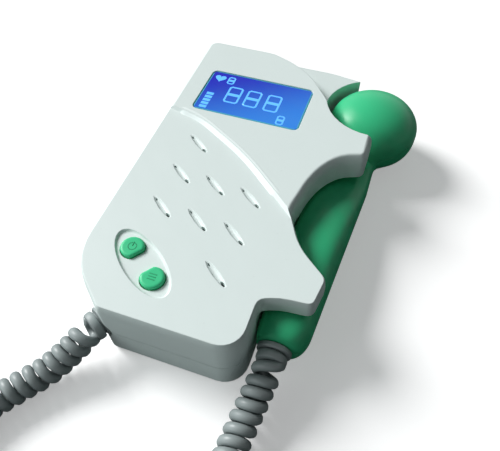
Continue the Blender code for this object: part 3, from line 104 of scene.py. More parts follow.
# Cord route, as in the solids
WIRE = 3.0 * MM
COIL_RADIUS = 3.3 * MM
TURN_GAP = 0.48 * MM
END_STRETCH = 1.2
BUSH_CENTRE = Vector((-16.16645, -64.59942)) * MM
BUSH_TURN = math.radians(241)
BUSH_SHOW = 1.0 * MM
CORD_LEVEL = COIL_RADIUS + WIRE / 2 + GAP
JACKET_RADIUS = 1.64 * MM
CORD_ROUTE = ((-21.8, -75.4, 3.9), (-26.9, -83.2, 0.9), (-32.8, -90.6, 0.0), (-38.2, -98.6, 0.0),
              (-42.0, -109.0, 0.0), (-42.4, -123.0, 0.0), (-38.0, -138.0, 0.0), (-27.5, -150.5, 0.0),
              (-12.5, -158.0, 0.0), (4.5, -158.5, 0.0), (19.5, -152.0, 0.0), (30.0, -139.5, 0.0),
              (34.0, -123.0, 0.0), (34.0, -105.0, 0.0), (34.4, -90.0, 0.0), (35.3, -79.6, 0.6),
              (36.6, -70.5, 3.6))

# Places of the buttons, as in the solids
BUTTON_PLACES = {"power": Vector((-13.0658, -44.8171)) * MM, "mode": Vector((-2.2842, -52.9417)) * MM}

# Speaker slots and the step between the panels, as in the solids, in millimetres
SLOT_CELLS = ((-1, 1), (-1, 0), (0, 0), (1, 0), (-1, -1), (0, -1), (1, -1), (1, -2))
SLOT_CENTRE = (1.949, -12.301)
SLOT_PITCH = (13.3, 15.9)
SLOT_ROW_FALL = 1.4
SLOT_TILT = math.radians(-38)
STEP_LINE = ((-28.9, 21.72), (-15.01, 18.62), (7.98, 4.81), (27.6, -12.45))
STEP_ROUNDS = (39.9, 107.5)
STEP_ROUND_POINTS = 12
STEP_SPACING = 1.0

# The rounded edge of the step: places across it and over the top face, in millimetres
STEP_PROFILE = ((-0.9, -0.02), (-0.7, 0.05), (-0.2, 0.06), (0.35, -0.06), (0.9, -0.36), (1.45, -0.80),
                (1.85, -1.13), (2.15, -1.25), (2.15, -1.6), (-0.9, -1.6))
STEP_SHIFT = 0.5 * MM
STEP_TAPER_POINTS = 6
STEP_TAPER_LEAST = 0.15
STEP_TAPER_SINK = 0.25 * MM

# Felt behind the sound holes
FELT_LEVEL = 24.4 * MM
FELT_REACH = 7.2 * MM
FELT_HALF_WIDTH = 2.2 * MM
FELT_THICKNESS = 0.10 * MM
FELT_SIDES = 32

# Sleeves at the cord's ends: radius and height, in millimetres
RELIEF_PROFILE = ((3.9, 0.0), (3.9, 0.45), (4.6, 0.55), (4.82, 0.9), (4.86, 1.6), (4.82, 2.4), (4.6, 2.9),
                  (4.2, 3.05))
RELIEF_SIDES = 64
ROUTE_STEPS = 24
CORD_END_SHARE = 0.93

# Fineness of the probe's skin
STATION_EVEN_SHARE = 0.35
REACH_STEPS = 16
HEAD_BLEND_START = 1.5
BORE_SIDES = 72

# Display marks: shares from the window's left and far edge, and sizes
DIGIT_SHARES = (0.305, 0.492, 0.689)
DIGIT_DOWN_SHARE = 0.517
FAR_DIGIT_SHARES = (0.212, 0.178)
FAR_DIGIT_HEIGHT = 4.6 * MM
NEAR_DIGIT_SHARES = (0.821, 0.86)
NEAR_DIGIT_HEIGHT = 5.2 * MM
SMALL_DIGIT_WIDTH = 3.1 * MM
SMALL_STROKE_SHARE = 0.8
LEVEL_BARS = 5
LEVEL_ACROSS_SHARE = 0.088
LEVEL_FIRST_SHARE = 0.595
LEVEL_STEP_SHARE = 0.082
LEVEL_SIZE = (3.0 * MM, 1.55 * MM)
HEART_SHARES = (0.0985, 0.168)
HEART_WIDTH = 4.6 * MM
HEART_POINTS = 64

# Signs on the buttons
SIGN_SINK = 0.12 * MM
SIGN_THICKNESS = 0.14 * MM
SIGN_STROKE = 0.34 * MM
RING_RADIUS = 1.5 * MM
RING_WIDTH = 0.32 * MM
RING_POINTS = 48
POWER_STROKE_PLACE = Vector((0.0, 0.9, 0.01)) * MM
POWER_STROKE_LENGTH = 1.7 * MM
MODE_LINES = 3
MODE_LINE_LENGTH = 2.6 * MM
MODE_LINE_PITCH = 0.95 * MM

# Edges blunter than these are shaded smooth, in degrees
COVER_SMOOTH = 48
REAR_SMOOTH = 40
CORD_SMOOTH = 50
TURNED_SMOOTH = 40
PROBE_SMOOTH = 38
STEP_SMOOTH = 40
MERGE_DISTANCE = GAP / 60
LEVEL_ANGLE = math.radians(0.2)
LEVEL_COSINE = 0.9995
UPRIGHT_COSINE = 0.02
LEAST_AREA = 1e-9

# Lamps
KEY_PLACE = (-0.40, 0.13, 0.28)
KEY_WAY = Vector((-0.80, 0.22, 0.58))
FILL_PLACE = (-0.26, -0.30, 0.13)
FILL_SIZE = 0.22
FILL_COLOUR = (0.93, 1.0, 1.0)
FLOOR_RADIUS = 3.0
FLOOR_LEVEL = -0.2 * MM

# Colours of the plain inner parts
FACE_COLOUR = (0.62, 0.60, 0.52)
DARK_COLOUR = (0.022, 0.024, 0.026)
BOARD_COLOUR = (0.015, 0.17, 0.07)
STEEL_COLOUR = (0.60, 0.60, 0.60)
CELL_COLOUR = (0.08, 0.13, 0.28)

MATERIALS = {}


def clear_selection():
    """Leaves edit mode and deselects everything."""
    if bpy.context.object and bpy.context.object.mode != "OBJECT":
        bpy.ops.object.mode_set(mode="OBJECT")
    bpy.ops.object.select_all(action="DESELECT")


def take(piece):
    """Makes one piece the selected and active one."""
    clear_selection()
    piece.select_set(True)
    bpy.context.view_layer.objects.active = piece


def settle(piece):
    """Puts the piece's place into its mesh."""
    take(piece)
    bpy.ops.object.transform_apply(location=True, rotation=True, scale=True)


def use_modifier(piece, kind, **settings):
    """Adds a modifier with its settings and applies it."""
    take(piece)
    modifier = piece.modifiers.new(kind.lower(), kind)
    for name, value in settings.items():
        setattr(modifier, name, value)
    bpy.ops.object.modifier_apply(modifier=modifier.name)


def smooth(piece, degrees):
    """Shades the piece smooth over edges blunter than the angle."""
    take(piece)
    bpy.ops.object.shade_smooth_by_angle(angle=math.radians(degrees))


def new_piece(name, mesh):
    """Puts a mesh in the scene as a piece."""
    piece = bpy.data.objects.new(name, mesh)
    bpy.context.scene.collection.objects.link(piece)
    return piece


def piece_from(name, mesh):
    """Turns the faces of a drawn mesh outwards and puts it in the scene as a piece."""
    bmesh.ops.recalc_face_normals(mesh, faces=mesh.faces)
    data = bpy.data.meshes.new(name)
    mesh.to_mesh(data)
    mesh.free()
    return new_piece(name, data)


def give(piece, body, material):
    """Gives the piece its material and its body."""
    piece.data.materials.clear()
    piece.data.materials.append(MATERIALS[material])
    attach(piece, body)


def copied_node(node, name, degrees):
    """Copies a solid's mesh, merges its loose triangles and shades it smooth where the real surface is."""
    piece = new_piece(name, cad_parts[node].data.copy())
    take(piece)
    bpy.ops.object.mode_set(mode="EDIT")
    bpy.ops.mesh.select_all(action="SELECT")
    bpy.ops.mesh.customdata_custom_splitnormals_clear()
    bpy.ops.mesh.remove_doubles(threshold=MERGE_DISTANCE)
    bpy.ops.mesh.dissolve_limited(angle_limit=LEVEL_ANGLE)
    bpy.ops.object.mode_set(mode="OBJECT")
    smooth(piece, degrees)
    even_normals(piece, degrees)
    return piece


def even_normals(piece, degrees):
    """Keeps flat faces flat and lets the rounded edges between them turn evenly."""
    mesh = piece.data
    limit = math.cos(math.radians(degrees))
    around = [[] for _ in mesh.vertices]
    for face in mesh.polygons:
        for index in face.vertices:
            around[index].append((face.normal.copy(), face.area))
    normals = [None] * len(mesh.loops)
    for face in mesh.polygons:
        for loop in face.loop_indices:
            near = [(n, a) for n, a in around[mesh.loops[loop].vertex_index] if n.dot(face.normal) > limit]
            level = [(n, a) for n, a in near if abs(n.z) > LEVEL_COSINE]
            upright = [(n, a) for n, a in near if abs(n.z) < UPRIGHT_COSINE]
            total = Vector()
            for n, a in level or upright or near:
                total += n * (a + LEAST_AREA)
            normals[loop] = total.normalized() if total.length > 0 else face.normal
    mesh.normals_split_custom_set([tuple(n) for n in normals])


# Property groups

class StageSizes(bpy.types.PropertyGroup):
    lens: FloatProperty(name="Lens", description="Focal length on a 36 mm sensor", default=36.33,
                        unit="CAMERA")
    distance: FloatProperty(name="Distance", description="Camera to target", default=0.19678, unit="LENGTH")
    azimuth: FloatProperty(name="Azimuth", description="Turn of the camera round the object",
                           default=math.radians(19.597), subtype="ANGLE")
    elevation: FloatProperty(name="Elevation", description="Height angle of the camera",
                             default=math.radians(52.717), subtype="ANGLE")
    roll: FloatProperty(name="Roll", description="Tilt of the picture", default=math.radians(-0.537),
                        subtype="ANGLE")
    target: FloatVectorProperty(name="Target", description="Point in the middle of the picture",
                                default=(-0.004491, -0.005678, 0.0), subtype="TRANSLATION")
    key_strength: FloatProperty(name="Key light", description="Strength of the soft light from the left",
                                default=4.0)
    key_softness: FloatProperty(name="Key softness", description="Apparent width of the soft light",
                                default=math.radians(26), subtype="ANGLE")
    fill_power: FloatProperty(name="Fill lamp", description="Power of the lamp in front", default=0.38,
                              unit="POWER")
    ambient: FloatProperty(name="Ambient", description="Brightness of the surroundings", default=0.09)


class CordSizes(bpy.types.PropertyGroup):
    points_per_curl: IntProperty(name="Points per curl", description="Fineness of the curls", default=16)
    sides: IntProperty(name="Sides", description="Fineness of the wire's section", default=12)


class ProbeSizes(bpy.types.PropertyGroup):
    stations: IntProperty(name="Stations", description="Sections along the probe", default=84)
    steps: IntProperty(name="Steps", description="Points round half a section", default=36)


class DisplaySizes(bpy.types.PropertyGroup):
    stroke: FloatProperty(name="Stroke", description="Width of a display line", default=0.78 * MM,
                          unit="LENGTH")
    digit_height: FloatProperty(name="Digit height", description="Height of a large digit",
                                default=10.0 * MM, unit="LENGTH")
    digit_width: FloatProperty(name="Digit width", description="Width of a large digit",
                               default=6.0 * MM, unit="LENGTH")
    lift: FloatProperty(name="Lift", description="Thickness of a display mark", default=0.04 * MM,
                        unit="LENGTH")


class FinishColours(bpy.types.PropertyGroup):
    casing: FloatVectorProperty(name="Casing", description="Moulded housing", default=(0.77, 0.86, 0.84),
                                subtype="COLOR", size=3)
    green: FloatVectorProperty(name="Green", description="Probe and buttons", default=(0.040, 0.53, 0.24),
                               subtype="COLOR", size=3)
    cord: FloatVectorProperty(name="Cord", description="Cord jacket and collars", default=(0.27, 0.31, 0.31),
                              subtype="COLOR", size=3)
    deep_blue: FloatVectorProperty(name="Deep blue", description="Display's far left corner",
                                   default=(0.008, 0.014, 0.52), subtype="COLOR", size=3)
    bright_blue: FloatVectorProperty(name="Bright blue", description="Display's near right corner",
                                     default=(0.035, 0.25, 0.82), subtype="COLOR", size=3)
    marks: FloatVectorProperty(name="Marks", description="Display marks", default=(0.10, 0.42, 0.95),
                               subtype="COLOR", size=3)


# Node helpers

def add_node(tree, kind, place, values=None, **settings):
    """Adds a shader node at a place of the layout, with its settings and the values of its sockets."""
    node = tree.nodes.new(kind)
    node.location = place
    for name, value in settings.items():
        setattr(node, name, value)
    for socket, value in (values or {}).items():
        node.inputs[socket].default_value = value
    return node


def new_group(name, inputs, outputs):
    """Starts a shader node group with named sockets."""
    group = bpy.data.node_groups.new(name, "ShaderNodeTree")
    for label, kind, value in inputs:
        socket = group.interface.new_socket(name=label, in_out="INPUT", socket_type=kind)
        if value is not None:
            socket.default_value = value
    for label, kind in outputs:
        group.interface.new_socket(name=label, in_out="OUTPUT", socket_type=kind)
    start = add_node(group, "NodeGroupInput", (-900, 0))
    end = add_node(group, "NodeGroupOutput", (700, 0))
    return group, start, end


def make_grain_group():
    """Fine spark-etched grain of a mould: a height, and a slow mottling of shade."""
    group, start, end = new_group(
        "moulded_grain",
        [("Vector", "NodeSocketVector", None), ("Grain Scale", "NodeSocketFloat", 2600.0),
         ("Mottle Scale", "NodeSocketFloat", 60.0)],
        [("Height", "NodeSocketFloat"), ("Mottle", "NodeSocketFloat"), ("Speck", "NodeSocketFloat")])
    fine = add_node(group, "ShaderNodeTexNoise", (-500, 200), {"Detail": 3.0, "Roughness": 0.6})
    pits = add_node(group, "ShaderNodeTexVoronoi", (-500, -60), feature="SMOOTH_F1")
    slow = add_node(group, "ShaderNodeTexNoise", (-500, -360), {"Detail": 4.0})
    speck = add_node(group, "ShaderNodeTexNoise", (-500, -620), {"Scale": 900.0, "Detail": 2.0})
    narrow = add_node(group, "ShaderNodeMapRange", (-200, -620), {"From Min": 0.68, "From Max": 0.80})
    mix = add_node(group, "ShaderNodeMath", (100, 120), operation="ADD")
    half = add_node(group, "ShaderNodeMath", (-200, -60), {1: 0.5}, operation="MULTIPLY")
    links = group.links
    for node in (fine, pits, slow, speck):
        links.new(start.outputs["Vector"], node.inputs["Vector"])
    links.new(start.outputs["Grain Scale"], fine.inputs["Scale"])
    links.new(start.outputs["Grain Scale"], pits.inputs["Scale"])
    links.new(start.outputs["Mottle Scale"], slow.inputs["Scale"])
    links.new(pits.outputs["Distance"], half.inputs[0])
    links.new(fine.outputs["Fac"], mix.inputs[0])
    links.new(half.outputs[0], mix.inputs[1])
    links.new(speck.outputs["Fac"], narrow.inputs["Value"])
    links.new(mix.outputs[0], end.inputs["Height"])
    links.new(slow.outputs["Fac"], end.inputs["Mottle"])
    links.new(narrow.outputs["Result"], end.inputs["Speck"])
    return group


def make_edge_wear_highlight_group():
    """Softened edges where two faces meet: a rounded normal, and a mask broken up by noise that lightens
    them, partly as wear and partly as a painted highlight.
    """
    group, start, end = new_group(
        "edge_wear_and_highlight",
        [("Vector", "NodeSocketVector", None), ("Amount", "NodeSocketFloat", 1.0)],
        [("Mask", "NodeSocketFloat"), ("Normal", "NodeSocketVector")])
    rounded = add_node(group, "ShaderNodeBevel", (-600, 200), {"Radius": 0.35 * MM}, samples=6)
    flat = add_node(group, "ShaderNodeNewGeometry", (-600, -60))
    dot = add_node(group, "ShaderNodeVectorMath", (-350, 100), operation="DOT_PRODUCT")
    away = add_node(group, "ShaderNodeMapRange", (-150, 100), {"From Min": 0.995, "From Max": 0.80})
    noise = add_node(group, "ShaderNodeTexNoise", (-350, -260), {"Scale": 220.0, "Detail": 5.0})
    patch = add_node(group, "ShaderNodeMapRange", (-150, -260), {"From Min": 0.38, "From Max": 0.70})
    broken = add_node(group, "ShaderNodeMath", (100, 60), operation="MULTIPLY")
    scaled = add_node(group, "ShaderNodeMath", (300, 60), operation="MULTIPLY", use_clamp=True)
    links = group.links
    links.new(rounded.outputs["Normal"], dot.inputs[0])
    links.new(flat.outputs["Normal"], dot.inputs[1])
    links.new(dot.outputs["Value"], away.inputs["Value"])
    links.new(start.outputs["Vector"], noise.inputs["Vector"])
    links.new(noise.outputs["Fac"], patch.inputs["Value"])
    links.new(away.outputs["Result"], broken.inputs[0])
    links.new(patch.outputs["Result"], broken.inputs[1])
    links.new(broken.outputs[0], scaled.inputs[0])
    links.new(start.outputs["Amount"], scaled.inputs[1])
    links.new(scaled.outputs[0], end.inputs["Mask"])
    links.new(rounded.outputs["Normal"], end.inputs["Normal"])
    return group


def make_smudge_group():
    """Faint handling marks: a slow mask with a few soft streaks."""
    group, start, end = new_group(
        "handling_marks",
        [("Vector", "NodeSocketVector", None)],
        [("Mask", "NodeSocketFloat")])
    patches = add_node(group, "ShaderNodeTexNoise", (-500, 120),
                       {"Scale": 38.0, "Detail": 6.0, "Distortion": 0.8})
    streaks = add_node(group, "ShaderNodeTexWave", (-500, -160),
                       {"Scale": 55.0, "Distortion": 9.0, "Detail": 3.0},
                       wave_type="BANDS", bands_direction="DIAGONAL")
    both = add_node(group, "ShaderNodeMath", (-200, 0), operation="MULTIPLY")
    shaped = add_node(group, "ShaderNodeMapRange", (100, 0), {"From Min": 0.15, "From Max": 0.55})
    links = group.links
    links.new(start.outputs["Vector"], patches.inputs["Vector"])
    links.new(start.outputs["Vector"], streaks.inputs["Vector"])
    links.new(patches.outputs["Fac"], both.inputs[0])
    links.new(streaks.outputs["Fac"], both.inputs[1])
    links.new(both.outputs[0], shaped.inputs["Value"])
    links.new(shaped.outputs["Result"], end.inputs["Mask"])
    return group


def tinted(colour, factor):
    """Returns a colour with its brightness changed."""
    return (*[min(value * factor, 1.0) for value in colour[:3]], 1.0)


def plastic(name, colour, roughness, grain_depth, wear_and_highlight=0.5, coat=0.0, metallic=0.0, grain_scale=2600.0,
            mottle=0.04, spread=0.10, specular=0.5):
    """A moulded or metal finish: mottled colour, grained, with edges lightened partly as wear and partly as a
    painted highlight, and uneven gloss.
    """
    material = bpy.data.materials.new(name)
    material.use_nodes = True
    tree = material.node_tree
    shader = tree.nodes["Principled BSDF"]
    shader.location = (500, 0)
    tree.nodes["Material Output"].location = (800, 0)
    place = add_node(tree, "ShaderNodeTexCoord", (-900, 0))
    grain = add_node(tree, "ShaderNodeGroup", (-600, 200),
                     {"Grain Scale": grain_scale}, node_tree=bpy.data.node_groups["moulded_grain"])
    edge = add_node(tree, "ShaderNodeGroup", (-600, -60),
                    {"Amount": wear_and_highlight}, node_tree=bpy.data.node_groups["edge_wear_and_highlight"])
    marks = add_node(tree, "ShaderNodeGroup", (-600, -320), node_tree=bpy.data.node_groups["handling_marks"])
    shade = add_node(tree, "ShaderNodeMix", (-250, 300),
                     {"A": tinted(colour, 1 - mottle), "B": tinted(colour, 1 + mottle)}, data_type="RGBA")
    dusty = add_node(tree, "ShaderNodeMix", (0, 260), {"B": tinted(colour, 0.82)}, data_type="RGBA")
    # Edges turn lighter towards this colour: partly wear, partly a painted highlight.
    worn_highlit = add_node(tree, "ShaderNodeMix", (240, 220),
                    {"B": tinted([value * 0.75 + 0.25 for value in colour[:3]], 1.0)}, data_type="RGBA")
    speck_share = add_node(tree, "ShaderNodeMath", (-250, 60), {1: 0.25}, operation="MULTIPLY")
    gloss = add_node(tree, "ShaderNodeMapRange", (-250, -120),
                     {"To Min": max(roughness - spread / 2, 0.02), "To Max": roughness + spread / 2})
    rough_edge = add_node(tree, "ShaderNodeMath", (0, -120), {1: 0.12}, operation="MULTIPLY_ADD")
    bump = add_node(tree, "ShaderNodeBump", (240, -300), {"Strength": 0.6, "Distance": grain_depth})
    links = tree.links
    for node in (grain, edge, marks):
        links.new(place.outputs["Object"], node.inputs["Vector"])
    links.new(grain.outputs["Mottle"], shade.inputs["Factor"])
    links.new(grain.outputs["Speck"], speck_share.inputs[0])
    links.new(shade.outputs["Result"], dusty.inputs["A"])
    links.new(speck_share.outputs[0], dusty.inputs["Factor"])
    links.new(dusty.outputs["Result"], worn_highlit.inputs["A"])
    links.new(edge.outputs["Mask"], worn_highlit.inputs["Factor"])
    links.new(worn_highlit.outputs["Result"], shader.inputs["Base Color"])
    links.new(marks.outputs["Mask"], gloss.inputs["Value"])
    links.new(edge.outputs["Mask"], rough_edge.inputs[0])
    links.new(gloss.outputs["Result"], rough_edge.inputs[2])
    links.new(rough_edge.outputs[0], shader.inputs["Roughness"])
    links.new(grain.outputs["Height"], bump.inputs["Height"])
    links.new(edge.outputs["Normal"], bump.inputs["Normal"])
    links.new(bump.outputs["Normal"], shader.inputs["Normal"])
    shader.inputs["Metallic"].default_value = metallic
    shader.inputs["Specular IOR Level"].default_value = specular
    shader.inputs["Coat Weight"].default_value = coat
    shader.inputs["Coat Roughness"].default_value = 0.12
    MATERIALS[name] = material
    return material


def display_finish(colours, box):
    """Blue display under a clear window: a slanting gradient, a fine dot grid and a pale rim."""
    low, high = box
    middle = (low + high) / 2
    half = (high - low) / 2
    material = bpy.data.materials.new("display_blue")
    material.use_nodes = True
    tree = material.node_tree
    shader = tree.nodes["Principled BSDF"]
    shader.location = (800, 0)
    tree.nodes["Material Output"].location = (1100, 0)
    place = add_node(tree, "ShaderNodeTexCoord", (-1100, 0))
    fitted = add_node(tree, "ShaderNodeMapping", (-900, 0),
                      {"Location": (middle.x, middle.y, 0.0), "Scale": (half.x, half.y, 1.0)},
                      vector_type="TEXTURE")
    parts = add_node(tree, "ShaderNodeSeparateXYZ", (-700, 0))
    slant = add_node(tree, "ShaderNodeMath", (-500, 200), operation="SUBTRACT")
    ramp = add_node(tree, "ShaderNodeMapRange", (-300, 200),
                    {"From Min": -1.7, "From Max": 1.7}, interpolation_type="SMOOTHSTEP")
    blend = add_node(tree, "ShaderNodeMix", (-60, 200),
                     {"A": (*colours.deep_blue, 1.0), "B": (*colours.bright_blue, 1.0)}, data_type="RGBA")
    across = add_node(tree, "ShaderNodeMath", (-500, -60), operation="ABSOLUTE")
    along = add_node(tree, "ShaderNodeMath", (-500, -220), operation="ABSOLUTE")
    across_left = add_node(tree, "ShaderNodeMath", (-320, -60),
                           {1: -half.x, 2: half.x}, operation="MULTIPLY_ADD")
    along_left = add_node(tree, "ShaderNodeMath", (-320, -220),
                          {1: -half.y, 2: half.y}, operation="MULTIPLY_ADD")
    nearest = add_node(tree, "ShaderNodeMath", (-140, -140), operation="MINIMUM")
    rim = add_node(tree, "ShaderNodeMapRange", (60, -140), {"From Min": 0.62 * MM, "From Max": 0.30 * MM})
    edge = add_node(tree, "ShaderNodeMix", (420, 160), {"B": (0.10, 0.50, 0.62, 1.0)}, data_type="RGBA")
    dots = add_node(tree, "ShaderNodeTexVoronoi", (-300, 480), {"Scale": 2400.0, "Randomness": 0.0})
    fine = add_node(tree, "ShaderNodeMapRange", (-60, 480),
                    {"From Min": 0.2, "From Max": 0.7, "To Min": 1.0, "To Max": 0.93})
    grid = add_node(tree, "ShaderNodeMix", (180, 260),
                    {"Factor": 1.0}, data_type="RGBA", blend_type="MULTIPLY")
    marks = add_node(tree, "ShaderNodeGroup", (180, -380), node_tree=bpy.data.node_groups["handling_marks"])
    gloss = add_node(tree, "ShaderNodeMapRange", (420, -380), {"To Min": 0.10, "To Max": 0.20})
    links = tree.links
    links.new(place.outputs["Object"], fitted.inputs["Vector"])
    links.new(fitted.outputs["Vector"], parts.inputs["Vector"])
    links.new(parts.outputs["X"], slant.inputs[0])
    links.new(parts.outputs["Y"], slant.inputs[1])
    links.new(slant.outputs[0], ramp.inputs["Value"])
    links.new(ramp.outputs["Result"], blend.inputs["Factor"])
    links.new(parts.outputs["X"], across.inputs[0])
    links.new(parts.outputs["Y"], along.inputs[0])
    links.new(across.outputs[0], across_left.inputs[0])
    links.new(along.outputs[0], along_left.inputs[0])
    links.new(across_left.outputs[0], nearest.inputs[0])
    links.new(along_left.outputs[0], nearest.inputs[1])
    links.new(nearest.outputs[0], rim.inputs["Value"])
    links.new(place.outputs["Object"], dots.inputs["Vector"])
    links.new(dots.outputs["Distance"], fine.inputs["Value"])
    links.new(blend.outputs["Result"], grid.inputs["A"])
    links.new(fine.outputs["Result"], grid.inputs["B"])
    links.new(grid.outputs["Result"], edge.inputs["A"])
    links.new(rim.outputs["Result"], edge.inputs["Factor"])
    links.new(edge.outputs["Result"], shader.inputs["Base Color"])
    links.new(edge.outputs["Result"], shader.inputs["Emission Color"])
    links.new(place.outputs["Object"], marks.inputs["Vector"])
    links.new(marks.outputs["Mask"], gloss.inputs["Value"])
    links.new(gloss.outputs["Result"], shader.inputs["Roughness"])
    shader.inputs["Emission Strength"].default_value = 0.12
    shader.inputs["Specular IOR Level"].default_value = 0.15
    MATERIALS["display_blue"] = material


# Operators

class MONITOR_OT_finishes(bpy.types.Operator):
    """Make the node groups and the finishes"""
    bl_idname = "monitor.finishes"
    bl_label = "Finishes"

    def execute(self, context):
        colours = context.scene.monitor_colours
        make_grain_group()
        make_edge_wear_highlight_group()
        make_smudge_group()
        # The step's lighter colour is a painted highlight along its rounded edge.
        step_highlight_colour = [min(value * 1.14, 0.97) for value in colours.casing]
        button_colour = [value * 1.12 for value in colours.green]
        sign_colour = [value * 0.72 for value in colours.green]
        plastic("housing_plastic", colours.casing, 0.46, 0.018 * MM, wear_and_highlight=0.35, mottle=0.015, specular=0.35)
        plastic("step_highlight_plastic", step_highlight_colour, 0.36, 0.008 * MM, wear_and_highlight=0.2, mottle=0.01, specular=0.5)
        plastic("green_plastic", colours.green, 0.36, 0.006 * MM, wear_and_highlight=0.25, mottle=0.04, specular=0.22)
        plastic("button_green", button_colour, 0.40, 0.010 * MM, wear_and_highlight=0.2, specular=0.3)
        plastic("button_mark", sign_colour, 0.5, 0.006 * MM, wear_and_highlight=0.0, specular=0.2)
        plastic("face_rubber", FACE_COLOUR, 0.50, 0.012 * MM, wear_and_highlight=0.2)
        plastic("dark_plastic", DARK_COLOUR, 0.48, 0.020 * MM, wear_and_highlight=0.35, mottle=0.1)
        plastic("board_laminate", BOARD_COLOUR, 0.30, 0.004 * MM, wear_and_highlight=0.6, coat=0.5, mottle=0.12)
        plastic("plated_steel", STEEL_COLOUR, 0.28, 0.004 * MM, wear_and_highlight=0.3, metallic=1.0, grain_scale=1500.0)
        plastic("cell_jacket", CELL_COLOUR, 0.30, 0.003 * MM, wear_and_highlight=0.4, coat=0.4, metallic=0.3)
        plastic("cord_rubber", colours.cord, 0.46, 0.012 * MM, wear_and_highlight=0.15, mottle=0.06)
        plastic("display_marks", colours.marks, 0.20, 0.002 * MM, wear_and_highlight=0.0, mottle=0.03, specular=0.3)
        glow = MATERIALS["display_marks"].node_tree.nodes["Principled BSDF"]
        glow.inputs["Emission Color"].default_value = (*colours.marks, 1.0)
        glow.inputs["Emission Strength"].default_value = 0.55
        display_finish(colours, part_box("display_window"))
        return {"FINISHED"}


def look_from(stage):
    """Returns the camera's place and turn for the photograph's view."""
    turn, height = stage.azimuth, stage.elevation
    back = Vector((math.sin(turn) * math.cos(height), -math.cos(turn) * math.cos(height), math.sin(height)))
    right = Vector((math.cos(turn), math.sin(turn), 0.0))
    up = back.cross(right)
    right_rolled = right * math.cos(stage.roll) + up * math.sin(stage.roll)
    up_rolled = up * math.cos(stage.roll) - right * math.sin(stage.roll)
    place = Vector(stage.target) + back * stage.distance
    turned = Matrix((right_rolled, up_rolled, back)).transposed()
    return Matrix.Translation(place) @ turned.to_4x4()


def add_lamp(name, place, size, power, colour):
    """Adds a square lamp that shines at the object's middle."""
    bpy.ops.object.light_add(type="AREA", location=place)
    lamp = bpy.context.object
    lamp.name = name
    lamp.data.size = size
    lamp.data.energy = power
    lamp.data.color = colour
    lamp.rotation_euler = Vector(place).to_track_quat("Z", "Y").to_euler()
    return lamp


